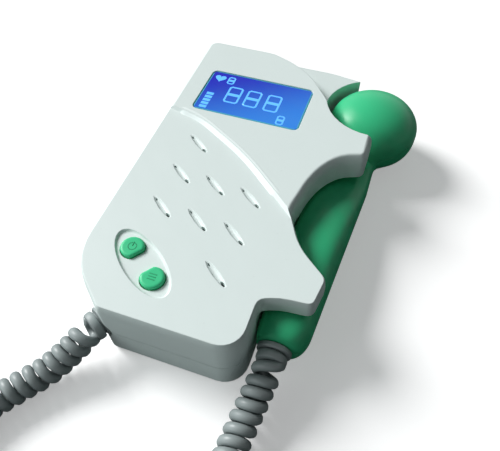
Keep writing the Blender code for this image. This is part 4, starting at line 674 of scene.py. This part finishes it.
class MONITOR_OT_stage(bpy.types.Operator):
    """Set the camera, the lamps, the surroundings and the floor"""
    bl_idname = "monitor.stage"
    bl_label = "Stage"

    def execute(self, context):
        stage = context.scene.monitor_stage
        scene = context.scene
        clear_selection()
        bpy.ops.object.camera_add()
        camera = context.object
        camera.name = "camera"
        camera.data.lens = stage.lens
        camera.data.sensor_width = 36.0
        camera.data.clip_start = 0.01
        camera.matrix_world = look_from(stage)
        scene.camera = camera
        bpy.ops.object.light_add(type="SUN", location=KEY_PLACE)
        key = context.object
        key.name = "key_light"
        key.data.energy = stage.key_strength
        key.data.angle = stage.key_softness
        key.rotation_euler = KEY_WAY.to_track_quat("Z", "Y").to_euler()
        add_lamp("fill_lamp", FILL_PLACE, FILL_SIZE, stage.fill_power, FILL_COLOUR)
        world = bpy.data.worlds.new("surroundings")
        scene.world = world
        world.use_nodes = True
        tree = world.node_tree
        ambient = tree.nodes["Background"]
        ambient.location = (0, 100)
        ambient.inputs["Color"].default_value = (0.85, 0.98, 1.0, 1.0)
        ambient.inputs["Strength"].default_value = stage.ambient
        white = add_node(tree, "ShaderNodeBackground", (0, -60), {"Color": (1.0, 1.0, 1.0, 1.0)})
        rays = add_node(tree, "ShaderNodeLightPath", (-500, 200))
        first = add_node(tree, "ShaderNodeMath", (-250, 200), operation="MAXIMUM")
        second = add_node(tree, "ShaderNodeMath", (-50, 260), operation="MAXIMUM")
        mix = add_node(tree, "ShaderNodeMixShader", (250, 60))
        tree.nodes["World Output"].location = (450, 60)
        tree.links.new(rays.outputs["Is Camera Ray"], first.inputs[0])
        tree.links.new(rays.outputs["Is Glossy Ray"], first.inputs[1])
        tree.links.new(first.outputs[0], second.inputs[0])
        tree.links.new(rays.outputs["Is Transmission Ray"], second.inputs[1])
        tree.links.new(second.outputs[0], mix.inputs["Fac"])
        tree.links.new(ambient.outputs[0], mix.inputs[1])
        tree.links.new(white.outputs[0], mix.inputs[2])
        tree.links.new(mix.outputs[0], tree.nodes["World Output"].inputs["Surface"])
        self.make_floor()
        scene.view_settings.view_transform = "Standard"
        return {"FINISHED"}

    def make_floor(self):
        clear_selection()
        bpy.ops.mesh.primitive_circle_add(vertices=96, radius=FLOOR_RADIUS, fill_type="NGON",
                                          location=(0.0, 0.0, FLOOR_LEVEL))
        floor = bpy.context.object
        floor.name = "floor"
        settle(floor)
        material = bpy.data.materials.new("floor_paper")
        material.use_nodes = True
        tree = material.node_tree
        paper = tree.nodes["Principled BSDF"]
        paper.inputs["Roughness"].default_value = 0.85
        paper.inputs["Specular IOR Level"].default_value = 0.1
        place = add_node(tree, "ShaderNodeTexCoord", (-700, 0))
        tooth = add_node(tree, "ShaderNodeTexNoise", (-500, 0), {"Scale": 900.0})
        tone = add_node(tree, "ShaderNodeMapRange", (-300, 0), {"To Min": 0.86, "To Max": 0.90})
        shade = add_node(tree, "ShaderNodeMix", (-100, 100), {"A": (0.20, 0.21, 0.21, 1.0)}, data_type="RGBA")
        lit = add_node(tree, "ShaderNodeEmission", (0, -300),
                       {"Color": (1.0, 1.0, 1.0, 1.0), "Strength": 0.36})
        rays = add_node(tree, "ShaderNodeLightPath", (-300, -500))
        dark = add_node(tree, "ShaderNodeEmission", (0, -460), {"Strength": 0.0})
        shown = add_node(tree, "ShaderNodeMixShader", (250, -300))
        total = add_node(tree, "ShaderNodeAddShader", (450, -100))
        tree.links.new(place.outputs["Object"], tooth.inputs["Vector"])
        tree.links.new(tooth.outputs["Fac"], tone.inputs["Value"])
        tree.links.new(tone.outputs["Result"], shade.inputs["B"])
        tree.links.new(rays.outputs["Is Camera Ray"], shade.inputs["Factor"])
        tree.links.new(shade.outputs["Result"], paper.inputs["Base Color"])
        tree.links.new(rays.outputs["Is Camera Ray"], shown.inputs["Fac"])
        tree.links.new(dark.outputs[0], shown.inputs[1])
        tree.links.new(lit.outputs[0], shown.inputs[2])
        tree.links.new(paper.outputs[0], total.inputs[0])
        tree.links.new(shown.outputs[0], total.inputs[1])
        tree.links.new(total.outputs[0], tree.nodes["Material Output"].inputs["Surface"])
        floor.data.materials.append(material)


def smooth_route(points, steps):
    """Returns a smooth curve through the points of a route, with a share of each span at every step."""
    padded = [points[0] * 2 - points[1]] + points + [points[-1] * 2 - points[-2]]
    places = []
    for k in range(1, len(padded) - 2):
        a, b, c, d = padded[k - 1:k + 3]
        for step in range(steps):
            t = step / steps
            places.append(0.5 * (2 * b + (c - a) * t + (2 * a - 5 * b + 4 * c - d) * t ** 2
                                 + (3 * b - a - 3 * c + d) * t ** 3))
    places.append(points[-1])
    return places


def curl_points(per_curl):
    """Returns the curly cord's middle line, a helix about the route with a short straight run at each end."""
    out = Vector((math.cos(BUSH_TURN), math.sin(BUSH_TURN), 0.0))
    back = Vector((0.0, -1.0, 0.0))
    start = Vector((*BUSH_CENTRE, PARTING_HEIGHT)) + out * (2 * GAP + BUSH_SHOW)
    end = COLLAR_CENTRE + back * (2 * GAP + COLLAR_SHOW)
    first = start + out * WIRE
    last = end + back * WIRE
    flat = Vector((0.0, 0.0, CORD_LEVEL))
    route = [first - out * WIRE / 4, first] + [Vector(point) * MM + flat for point in CORD_ROUTE]
    route += [last, last - back * WIRE / 4]
    places = smooth_route(route, ROUTE_STEPS)
    tangents = [(places[min(i + 1, len(places) - 1)] - places[max(i - 1, 0)]).normalized()
                for i in range(len(places))]
    side = tangents[0].cross(Vector((0.0, 0.0, 1.0))).normalized()
    sides = []
    for tangent in tangents:
        side = (side - tangent * side.dot(tangent)).normalized()
        sides.append(side)
    turns = [0.0]
    for i in range(1, len(places)):
        step = (places[i] - places[i - 1]).length
        bend = tangents[i].angle(tangents[i - 1]) / step if step else 0.0
        pitch = (WIRE + TURN_GAP) / (1 - min(COIL_RADIUS * bend, 0.5))
        from_end = min((places[i] - first).length, (places[i] - last).length)
        pitch *= 1 + END_STRETCH * max(1 - from_end / (2 * WIRE), 0.0) ** 2
        turns.append(turns[-1] + step / pitch)
    curls = math.floor(turns[-1])
    scale = curls / turns[-1]
    points = [start + sides[0] * COIL_RADIUS]
    index = 1
    for k in range(curls * per_curl + 1):
        turn = k / per_curl
        while index < len(turns) - 1 and turns[index] * scale < turn:
            index += 1
        low, high = turns[index - 1] * scale, turns[index] * scale
        share = min(max((turn - low) / (high - low), 0.0), 1.0)
        middle = places[index - 1].lerp(places[index], share)
        tangent = tangents[index - 1].lerp(tangents[index], share).normalized()
        across = sides[index - 1].lerp(sides[index], share).normalized()
        angle = math.tau * turn
        outward = across * math.cos(angle) + tangent.cross(across) * math.sin(angle)
        points.append(middle + outward * COIL_RADIUS)
    points.append(end + sides[-1] * COIL_RADIUS)
    return [point + UNIT_SHIFT for point in points]


def tube(name, points, radius, sides):
    """Sweeps a round tube along the points, a little thinner at both ends."""
    tangents = [(points[min(i + 1, len(points) - 1)] - points[max(i - 1, 0)]).normalized()
                for i in range(len(points))]
    side = tangents[0].cross(Vector((0.0, 0.0, 1.0))).normalized()
    mesh = bmesh.new()
    rings = []
    last = len(points) - 1
    for k, (point, tangent) in enumerate(zip(points, tangents)):
        side = (side - tangent * side.dot(tangent)).normalized()
        other = tangent.cross(side)
        size = radius * (CORD_END_SHARE if k in (0, last) else 1.0)
        rings.append([mesh.verts.new(point + (side * math.cos(math.tau * j / sides)
                                              + other * math.sin(math.tau * j / sides)) * size)
                      for j in range(sides)])
    for a, b in zip(rings, rings[1:]):
        for j in range(sides):
            mesh.faces.new((a[j], a[(j + 1) % sides], b[(j + 1) % sides], b[j]))
    mesh.faces.new(rings[0][::-1])
    mesh.faces.new(rings[-1])
    piece = piece_from(name, mesh)
    smooth(piece, CORD_SMOOTH)
    return piece


class MONITOR_OT_cord(bpy.types.Operator):
    """Make the curly cord from the housing's corner to the probe's collar"""
    bl_idname = "monitor.cord"
    bl_label = "Curly Cord"

    def execute(self, context):
        sizes = context.scene.monitor_cord
        points = curl_points(sizes.points_per_curl)
        cord = tube("cord_curl", points, JACKET_RADIUS, sizes.sides)
        give(cord, "unit", "cord_rubber")
        cord.parent = None
        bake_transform(cord)
        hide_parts("curly_cord")
        reliefs = self.make_reliefs()
        return {"FINISHED"}

    def make_reliefs(self):
        """Short round sleeves through which the cord leaves the housing and the collar."""
        bush = Vector((*BUSH_CENTRE, PARTING_HEIGHT)) + UNIT_SHIFT
        outward = Vector((math.cos(BUSH_TURN), math.sin(BUSH_TURN), 0.0))
        collar = COLLAR_CENTRE + UNIT_SHIFT
        back = Vector((0.0, -1.0, 0.0))
        profile = [(radius * MM, height * MM) for radius, height in RELIEF_PROFILE]
        made = []
        for name, place, way, show, body in (("bush_relief", bush, outward, BUSH_SHOW, "unit"),
                                             ("collar_relief", collar, back, COLLAR_SHOW, "probe")):
            turn = way.to_track_quat("Z", "Y").to_matrix().to_4x4()
            matrix = Matrix.Translation(place + way * (GAP + show)) @ turn
            relief = turned_piece(name, profile, matrix, RELIEF_SIDES)
            give(relief, body, "cord_rubber")
            made.append(relief)
        return made


def turned_piece(name, profile, matrix, sides):
    """Draws a turned piece up from a disc, ring by ring, and sets it in its place."""
    clear_selection()
    radius, level = profile[0]
    bpy.ops.mesh.primitive_circle_add(vertices=sides, radius=radius, fill_type="NGON",
                                      location=(0.0, 0.0, level))
    piece = bpy.context.object
    piece.name = name
    settle(piece)
    bpy.ops.object.mode_set(mode="EDIT")
    bpy.ops.mesh.select_mode(type="FACE")
    bpy.ops.mesh.select_all(action="SELECT")
    for wide, high in profile[1:]:
        bpy.ops.mesh.extrude_region_move(TRANSFORM_OT_translate={"value": (0.0, 0.0, high - level)})
        bpy.ops.transform.resize(value=(wide / radius, wide / radius, 1.0))
        radius, level = wide, high
    bpy.ops.mesh.select_all(action="SELECT")
    bpy.ops.mesh.normals_make_consistent(inside=False)
    bpy.ops.object.mode_set(mode="OBJECT")
    piece.matrix_world = matrix
    settle(piece)
    smooth(piece, TURNED_SMOOTH)
    return piece


def handle_section(y):
    """Returns the middle, half width and half height of the handle, a tapered bar narrowed at the collar."""
    along = min(max((y - TAIL_PLACE) / (NECK_PLACE - TAIL_PLACE), 0.0), 1.0)
    half_width = (TAIL_WIDTH + (NECK_WIDTH - TAIL_WIDTH) * along) / 2
    half_height = (TAIL_HEIGHT + (NECK_HEIGHT - TAIL_HEIGHT) * along ** 3) / 2
    start = max(TAIL_ROUND - (y - TAIL_PLACE), 0.0) / TAIL_ROUND
    narrow = 1 - math.sqrt(max(1 - start ** 2, 0.0))
    swell = 1 - narrow * (1 - COLLAR_RADIUS * 2 / TAIL_WIDTH)
    middle = Vector((HANDLE_LEFT + half_width + COLLAR_SHIFT * narrow, y, PROBE_FLOOR + half_height))
    return middle, half_width * swell, half_height * swell


def probe_measure(place, section):
    """Returns below 1 inside the probe: a handle and a domed head joined with a soft hollow."""
    middle, half_width, half_height = section
    across = abs(place.x - middle.x) / half_width
    upward = abs(place.z - middle.z) / half_height
    beyond = max(place.y - HEAD_CENTRE.y + HEAD_RADIUS, 0.0) / HEAD_RADIUS
    handle = (across ** HANDLE_POWER + upward ** HANDLE_POWER + beyond ** HANDLE_POWER) ** (1 / HANDLE_POWER)
    out = math.hypot(place.x - HEAD_CENTRE.x, place.y - HEAD_CENTRE.y) / HEAD_RADIUS
    over = place.z - HEAD_LEVEL
    power = HEAD_TOP_POWER if over > 0 else HEAD_BOTTOM_POWER
    head = (out ** power + (abs(over) / (HEAD_TOP if over > 0 else HEAD_BOTTOM)) ** power) ** (1 / power)
    handle = max(handle, GAP)
    head = max(head, GAP)
    return (handle ** -JOIN_POWER + head ** -JOIN_POWER) ** (-1 / JOIN_POWER)


def probe_ring(y, side, inset, steps):
    """Returns half a section of the probe, from +X round to -X, over (side 1) or under (-1) the parting."""
    section = handle_section(y)
    share = min(max((y - HEAD_CENTRE.y) / HEAD_RADIUS + HEAD_BLEND_START, 0.0), 1.0)
    share = share * share * (3 - 2 * share)
    middle = section[0].lerp(Vector((HEAD_CENTRE.x, y, HEAD_LEVEL)), share)
    middle = middle + Vector((0.0, 0.0, side * GAP / 2))
    points = []
    for step in range(steps + 1):
        angle = math.pi * step / steps
        ray = Vector((math.cos(angle), 0.0, side * math.sin(angle)))
        inside, outside = 0.0, HEAD_RADIUS * 2
        for _ in range(REACH_STEPS):
            reach = (inside + outside) / 2
            if probe_measure(middle + ray * reach, section) < 1:
                inside = reach
            else:
                outside = reach
        points.append(middle + ray * max(inside - inset, GAP) + UNIT_SHIFT)
    return points


def probe_stations(first, last, count):
    """Returns places along the probe, closer together towards both ends."""
    places = []
    for index in range(count):
        share = index / (count - 1)
        eased = 0.5 - 0.5 * math.cos(math.pi * share)
        spread = STATION_EVEN_SHARE * share + (1 - STATION_EVEN_SHARE) * eased
        places.append(first + (last - first) * spread)
    return places


def probe_half(name, side, sizes):
    """One half of the probe's housing: a lofted skin, an inner skin and the rims between them."""
    steps = sizes.steps
    tip = HEAD_CENTRE.y + HEAD_RADIUS
    outer_places = probe_stations(TAIL_PLACE, tip - GAP / 8, sizes.stations)
    inner_places = probe_stations(TAIL_PLACE, tip - PROBE_WALL, sizes.stations)
    mesh = bmesh.new()
    outer = [[mesh.verts.new(p) for p in probe_ring(y, side, 0.0, steps)] for y in outer_places]
    inner = [[mesh.verts.new(p) for p in probe_ring(y, side, PROBE_WALL, steps)] for y in inner_places]
    for skin in (outer, inner):
        for a, b in zip(skin, skin[1:]):
            for i in range(steps):
                mesh.faces.new((a[i], a[i + 1], b[i + 1], b[i]))
        mesh.faces.new(skin[-1])
    for i in range(steps):
        mesh.faces.new((outer[0][i], outer[0][i + 1], inner[0][i + 1], inner[0][i]))
    for rim in (0, -1):
        for k in range(len(outer) - 1):
            mesh.faces.new((outer[k][rim], outer[k + 1][rim], inner[k + 1][rim], inner[k][rim]))
    mesh.faces.new((outer[-1][0], outer[-1][-1], inner[-1][-1], inner[-1][0]))
    return piece_from(name, mesh)


def bored(piece, place, radius, depth, turn=(0.0, 0.0, 0.0)):
    """Cuts a round hole through a piece."""
    clear_selection()
    bpy.ops.mesh.primitive_cylinder_add(vertices=BORE_SIDES, radius=radius, depth=depth, location=place,
                                        rotation=turn)
    tool = bpy.context.object
    use_modifier(piece, "BOOLEAN", object=tool, operation="DIFFERENCE", solver="EXACT")
    bpy.data.objects.remove(tool, do_unlink=True)


class MONITOR_OT_probe(bpy.types.Operator):
    """Make the probe's two smooth halves"""
    bl_idname = "monitor.probe"
    bl_label = "Probe"

    def execute(self, context):
        sizes = context.scene.monitor_probe
        head = HEAD_CENTRE + UNIT_SHIFT
        collar = COLLAR_CENTRE + UNIT_SHIFT
        for name, node, side in (("probe_skin_upper", "probe_upper_shell", 1),
                                 ("probe_skin_lower", "probe_lower_shell", -1)):
            half = probe_half(name, side, sizes)
            bored(half, collar, COLLAR_NECK_RADIUS + GAP, COLLAR_INSIDE * 2, (math.pi / 2, 0.0, 0.0))
            if side < 0:
                bored(half, (head.x, head.y, PROBE_FLOOR), FACE_RADIUS + GAP, PROBE_WALL * 5)
            smooth(half, PROBE_SMOOTH)
            give(half, "probe", "green_plastic")
            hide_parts(node)
        return {"FINISHED"}


class MONITOR_OT_housing(bpy.types.Operator):
    """Dress the cover and the rear shell"""
    bl_idname = "monitor.housing"
    bl_label = "Housing"

    def execute(self, context):
        for node, name, degrees in (("front_cover", "cover_skin", COVER_SMOOTH),
                                    ("rear_shell", "rear_skin", REAR_SMOOTH)):
            piece = copied_node(node, name, degrees)
            give(piece, "unit", "housing_plastic")
            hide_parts(node)
        self.make_step_bead()
        self.make_felts()
        return {"FINISHED"}

    def make_step_bead(self):
        """The rounded edge where the display panel steps down to the speaker panel, coloured lighter as a
        painted highlight.
        """
        line = filleted(STEP_LINE, STEP_ROUNDS)
        mesh = bmesh.new()
        rings = []
        for k, point in enumerate(line):
            ahead = (line[min(k + 1, len(line) - 1)] - line[max(k - 1, 0)]).normalized()
            down = Vector((ahead.y, -ahead.x))
            if down.y > 0:
                down = -down
            from_end = min(k, len(line) - 1 - k) / STEP_TAPER_POINTS
            taper = min(1.0, STEP_TAPER_LEAST + (1 - STEP_TAPER_LEAST) * from_end)
            level = UNIT_HEIGHT - (1 - taper) * STEP_TAPER_SINK
            ring = []
            for across, over in STEP_PROFILE:
                spot = point + down * (STEP_SHIFT + across * taper * MM)
                ring.append(mesh.verts.new((spot.x, spot.y, level + over * MM)))
            rings.append(ring)
        count = len(STEP_PROFILE)
        for a, b in zip(rings, rings[1:]):
            for j in range(count):
                mesh.faces.new((a[j], a[(j + 1) % count], b[(j + 1) % count], b[j]))
        mesh.faces.new(rings[0])
        mesh.faces.new(rings[-1][::-1])
        bead = piece_from("step_bead", mesh)
        smooth(bead, STEP_SMOOTH)
        give(bead, "unit", "step_highlight_plastic")

    def make_felts(self):
        """Dark felt behind each slot's sound holes."""
        clear_selection()
        bpy.ops.mesh.primitive_circle_add(vertices=FELT_SIDES, radius=1.0, fill_type="NGON",
                                          location=(0.0, 0.0, 0.0))
        first = bpy.context.object
        first.scale = (FELT_REACH, FELT_HALF_WIDTH, 1.0)
        settle(first)
        bpy.ops.object.mode_set(mode="EDIT")
        lifted(first, FELT_THICKNESS)
        for index, place in enumerate(slot_places()):
            felt = new_piece(f"slot_felt_{index + 1}", first.data.copy())
            felt.matrix_world = (Matrix.Translation(Vector((place.x, place.y, FELT_LEVEL)) + UNIT_SHIFT)
                                 @ Matrix.Rotation(SLOT_TILT, 4, "Z"))
            settle(felt)
            give(felt, "unit", "dark_plastic")
        bpy.data.objects.remove(first, do_unlink=True)


def filleted(corners, rounds):
    """Returns a line through the corners in the scene's place, each inner corner rounded by its radius."""
    points = [Vector(corner) for corner in corners]
    line = [points[0]]
    for k in range(1, len(points) - 1):
        before = (points[k - 1] - points[k]).normalized()
        after = (points[k + 1] - points[k]).normalized()
        half_turn = (math.pi - before.angle(after)) / 2
        reach = rounds[k - 1] * math.tan(half_turn)
        start, end = points[k] + before * reach, points[k] + after * reach
        for step in range(STEP_ROUND_POINTS + 1):
            t = step / STEP_ROUND_POINTS
            line.append(start * (1 - t) ** 2 + points[k] * 2 * t * (1 - t) + end * t ** 2)
    line.append(points[-1])
    dense = []
    for a, b in zip(line, line[1:]):
        count = max(1, round((b - a).length / STEP_SPACING))
        dense += [a.lerp(b, step / count) for step in range(count)]
    dense.append(line[-1])
    return [point * MM + UNIT_SHIFT.xy for point in dense]


def slot_places():
    """Returns the middle of each speaker slot, as in the solids."""
    return [Vector((SLOT_CENTRE[0] + column * SLOT_PITCH[0],
                    SLOT_CENTRE[1] + row * SLOT_PITCH[1] - column * SLOT_ROW_FALL)) * MM
            for column, row in SLOT_CELLS]


SMOOTH_NODES = (
    ("battery_door", "door_panel", "door", "housing_plastic", "housing_plastic", 30),
    ("power_button", "power_cap", "power_key", "button_green", "green_plastic", 40),
    ("mode_button", "mode_cap", "mode_key", "button_green", "green_plastic", 40),
    ("cord_bush", "bush_sleeve", "unit", "cord_rubber", "cord_rubber", 40),
    ("probe_collar", "collar_sleeve", "probe", "cord_rubber", "cord_rubber", 40),
    ("volume_wheel", "volume_disc", "wheel", "dark_plastic", "dark_plastic", 25),
    ("earphone_socket", "earphone_sleeve", "unit", "dark_plastic", "dark_plastic", 40),
)

NODE_FINISHES = {
    "display_window": "display_blue",
    "display_glass": "display_blue",
    "display_frame": "dark_plastic",
    "acoustic_face": "face_rubber",
    "crystal_disc": "plated_steel",
    "crystal_holder": "dark_plastic",
    "battery_cell_1": "cell_jacket",
    "battery_cell_2": "cell_jacket",
    "battery_contact_far": "plated_steel",
    "battery_contact_near": "plated_steel",
    "main_board": "board_laminate",
    "power_switch": "dark_plastic",
    "mode_switch": "dark_plastic",
    "speaker_basket": "plated_steel",
    "speaker_magnet": "plated_steel",
    "speaker_cone": "dark_plastic",
    "housing_screw_1": "plated_steel",
    "housing_screw_2": "plated_steel",
    "housing_screw_3": "plated_steel",
    "housing_screw_4": "plated_steel",
    "volume_control": "dark_plastic",
}


class MONITOR_OT_fittings(bpy.types.Operator):
    """Dress the buttons, the door, the bush, the collar, the wheel and the inner parts"""
    bl_idname = "monitor.fittings"
    bl_label = "Fittings"

    def execute(self, context):
        for node, name, body, material, slot, degrees in SMOOTH_NODES:
            piece = copied_node(node, name, degrees)
            give(piece, body, material)
            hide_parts(node)
        for node, material in NODE_FINISHES.items():
            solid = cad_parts[node]
            for index in range(len(solid.material_slots)):
                solid.material_slots[index].material = MATERIALS[material]
        return {"FINISHED"}


def display_place(across, down):
    """Returns the place on the window of a share from its left and from its far edge."""
    low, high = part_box("display_window")
    return Vector((low.x + (high.x - low.x) * across, high.y - (high.y - low.y) * down, high.z))


def lifted(piece, lift):
    """Gives a flat mark its thickness and puts its place into its mesh."""
    bpy.ops.mesh.select_all(action="SELECT")
    bpy.ops.mesh.extrude_region_move(TRANSFORM_OT_translate={"value": (0.0, 0.0, lift)})
    bpy.ops.mesh.select_all(action="SELECT")
    bpy.ops.mesh.normals_make_consistent(inside=False)
    bpy.ops.object.mode_set(mode="OBJECT")
    settle(piece)


def figure_eight(name, place, width, height, stroke, lift):
    """An eight of seven joined display bars with cut corners."""
    clear_selection()
    bpy.ops.mesh.primitive_grid_add(x_subdivisions=1, y_subdivisions=2, size=1.0, location=place)
    piece = bpy.context.object
    piece.name = name
    piece.scale = (width, height, 1.0)
    settle(piece)
    piece_middle = Vector(place)
    bpy.ops.object.mode_set(mode="EDIT")
    bpy.ops.mesh.select_mode(type="VERT")
    mesh = bmesh.from_edit_mesh(piece.data)
    for vert in mesh.verts:
        vert.select_set(abs(vert.co.y - piece_middle.y) > height * 0.4)
    mesh.select_flush_mode()
    bmesh.update_edit_mesh(piece.data)
    bpy.ops.mesh.bevel(offset=stroke * 1.1, segments=1, affect="VERTICES")
    bpy.ops.mesh.select_mode(type="FACE")
    bpy.ops.mesh.select_all(action="SELECT")
    bpy.ops.mesh.inset(thickness=stroke, use_individual=True)
    bpy.ops.mesh.delete(type="FACE")
    lifted(piece, lift)
    return piece


def bar(name, place, width, height, lift):
    """One rectangular display bar."""
    clear_selection()
    bpy.ops.mesh.primitive_plane_add(size=1.0, location=place)
    piece = bpy.context.object
    piece.name = name
    piece.scale = (width, height, 1.0)
    settle(piece)
    bpy.ops.object.mode_set(mode="EDIT")
    bpy.ops.mesh.select_all(action="SELECT")
    bpy.ops.mesh.bevel(offset=height * 0.12, segments=2, affect="VERTICES")
    bpy.ops.mesh.select_all(action="SELECT")
    lifted(piece, lift)
    return piece


def heart(name, place, width, lift):
    """A plain heart shape, drawn round from a circle."""
    clear_selection()
    bpy.ops.mesh.primitive_circle_add(vertices=HEART_POINTS, radius=1.0, fill_type="NGON", location=place)
    piece = bpy.context.object
    piece.name = name
    for index, vert in enumerate(piece.data.vertices):
        angle = math.tau * index / HEART_POINTS
        across = 16 * math.sin(angle) ** 3
        along = 13 * math.cos(angle) - 5 * math.cos(2 * angle) - 2 * math.cos(3 * angle) - math.cos(4 * angle)
        vert.co = Vector((across / 32 * width, along / 32 * width, 0.0))
    bpy.ops.object.mode_set(mode="EDIT")
    bpy.ops.mesh.select_all(action="SELECT")
    lifted(piece, lift)
    return piece


class MONITOR_OT_display(bpy.types.Operator):
    """Make the marks on the display"""
    bl_idname = "monitor.display"
    bl_label = "Display"

    def execute(self, context):
        sizes = context.scene.monitor_display
        stroke, lift = sizes.stroke, sizes.lift
        marks = []
        for index, across in enumerate(DIGIT_SHARES):
            place = display_place(across, DIGIT_DOWN_SHARE)
            marks.append(figure_eight(f"digit_{index + 1}", place, sizes.digit_width,
                                      sizes.digit_height, stroke, lift))
        for name, shares, height in (("digit_small_far", FAR_DIGIT_SHARES, FAR_DIGIT_HEIGHT),
                                     ("digit_small_near", NEAR_DIGIT_SHARES, NEAR_DIGIT_HEIGHT)):
            marks.append(figure_eight(name, display_place(*shares), SMALL_DIGIT_WIDTH, height,
                                      stroke * SMALL_STROKE_SHARE, lift))
        for index in range(LEVEL_BARS):
            place = display_place(LEVEL_ACROSS_SHARE, LEVEL_FIRST_SHARE + LEVEL_STEP_SHARE * index)
            marks.append(bar(f"level_bar_{index + 1}", place, *LEVEL_SIZE, lift))
        marks.append(heart("heart_mark", display_place(*HEART_SHARES), HEART_WIDTH, lift))
        for mark in marks:
            give(mark, "unit", "display_marks")
        return {"FINISHED"}


def sign_place(button):
    """Returns the middle of a button's sign, sunk a little into the button's top."""
    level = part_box(f"{button}_button")[1].z - SIGN_SINK
    return Vector((*BUTTON_PLACES[button], level)) + UNIT_SHIFT


def ring_mark(name, place, radius, width, lift):
    """A flat ring, for the power sign."""
    clear_selection()
    bpy.ops.mesh.primitive_circle_add(vertices=RING_POINTS, radius=radius, fill_type="NGON", location=place)
    piece = bpy.context.object
    piece.name = name
    bpy.ops.object.mode_set(mode="EDIT")
    bpy.ops.mesh.select_all(action="SELECT")
    bpy.ops.mesh.inset(thickness=width)
    bpy.ops.mesh.delete(type="FACE")
    lifted(piece, lift)
    return piece


class MONITOR_OT_button_signs(bpy.types.Operator):
    """Make the plain signs on the two buttons"""
    bl_idname = "monitor.button_signs"
    bl_label = "Button Signs"

    def execute(self, context):
        spot = sign_place("power")
        ring = ring_mark("power_ring", spot, RING_RADIUS, RING_WIDTH, SIGN_THICKNESS)
        stroke = bar("power_stroke", spot + POWER_STROKE_PLACE, SIGN_STROKE, POWER_STROKE_LENGTH,
                     SIGN_THICKNESS)
        for sign in (ring, stroke):
            give(sign, "power_key", "button_mark")
        spot = sign_place("mode")
        for index in range(MODE_LINES):
            place = spot + Vector((0.0, (index - 1) * MODE_LINE_PITCH, 0.0))
            line = bar(f"mode_line_{index + 1}", place, MODE_LINE_LENGTH, SIGN_STROKE, SIGN_THICKNESS)
            give(line, "mode_key", "button_mark")
        return {"FINISHED"}


class MONITOR_PT_panel(bpy.types.Panel):
    bl_idname = "MONITOR_PT_panel"
    bl_label = "Fetal Doppler Monitor"
    bl_space_type = "VIEW_3D"
    bl_region_type = "UI"
    bl_category = "Doppler"

    def draw(self, context):
        scene = context.scene
        for group in (scene.monitor_stage, scene.monitor_cord, scene.monitor_probe, scene.monitor_display,
                      scene.monitor_colours):
            for name in group.__annotations__:
                self.layout.prop(group, name)
        for step in STEPS:
            self.layout.operator(step.bl_idname)


STEPS = (MONITOR_OT_finishes, MONITOR_OT_stage, MONITOR_OT_cord, MONITOR_OT_housing, MONITOR_OT_probe,
         MONITOR_OT_fittings, MONITOR_OT_display, MONITOR_OT_button_signs)
GROUPS = {"monitor_stage": StageSizes, "monitor_cord": CordSizes, "monitor_probe": ProbeSizes,
          "monitor_display": DisplaySizes, "monitor_colours": FinishColours}


def register():
    for group in GROUPS.values():
        bpy.utils.register_class(group)
    for name, group in GROUPS.items():
        setattr(bpy.types.Scene, name, PointerProperty(type=group))
    for step in STEPS:
        bpy.utils.register_class(step)
    bpy.utils.register_class(MONITOR_PT_panel)


def unregister():
    bpy.utils.unregister_class(MONITOR_PT_panel)
    for step in reversed(STEPS):
        bpy.utils.unregister_class(step)
    for name, group in GROUPS.items():
        delattr(bpy.types.Scene, name)
        bpy.utils.unregister_class(group)


def main():
    register()
    bpy.ops.monitor.finishes()
    bpy.ops.monitor.stage()
    bpy.ops.monitor.cord()
    bpy.ops.monitor.housing()
    bpy.ops.monitor.probe()
    bpy.ops.monitor.fittings()
    bpy.ops.monitor.display()
    bpy.ops.monitor.button_signs()
    clear_selection()


if __name__ == "__main__":
    main()
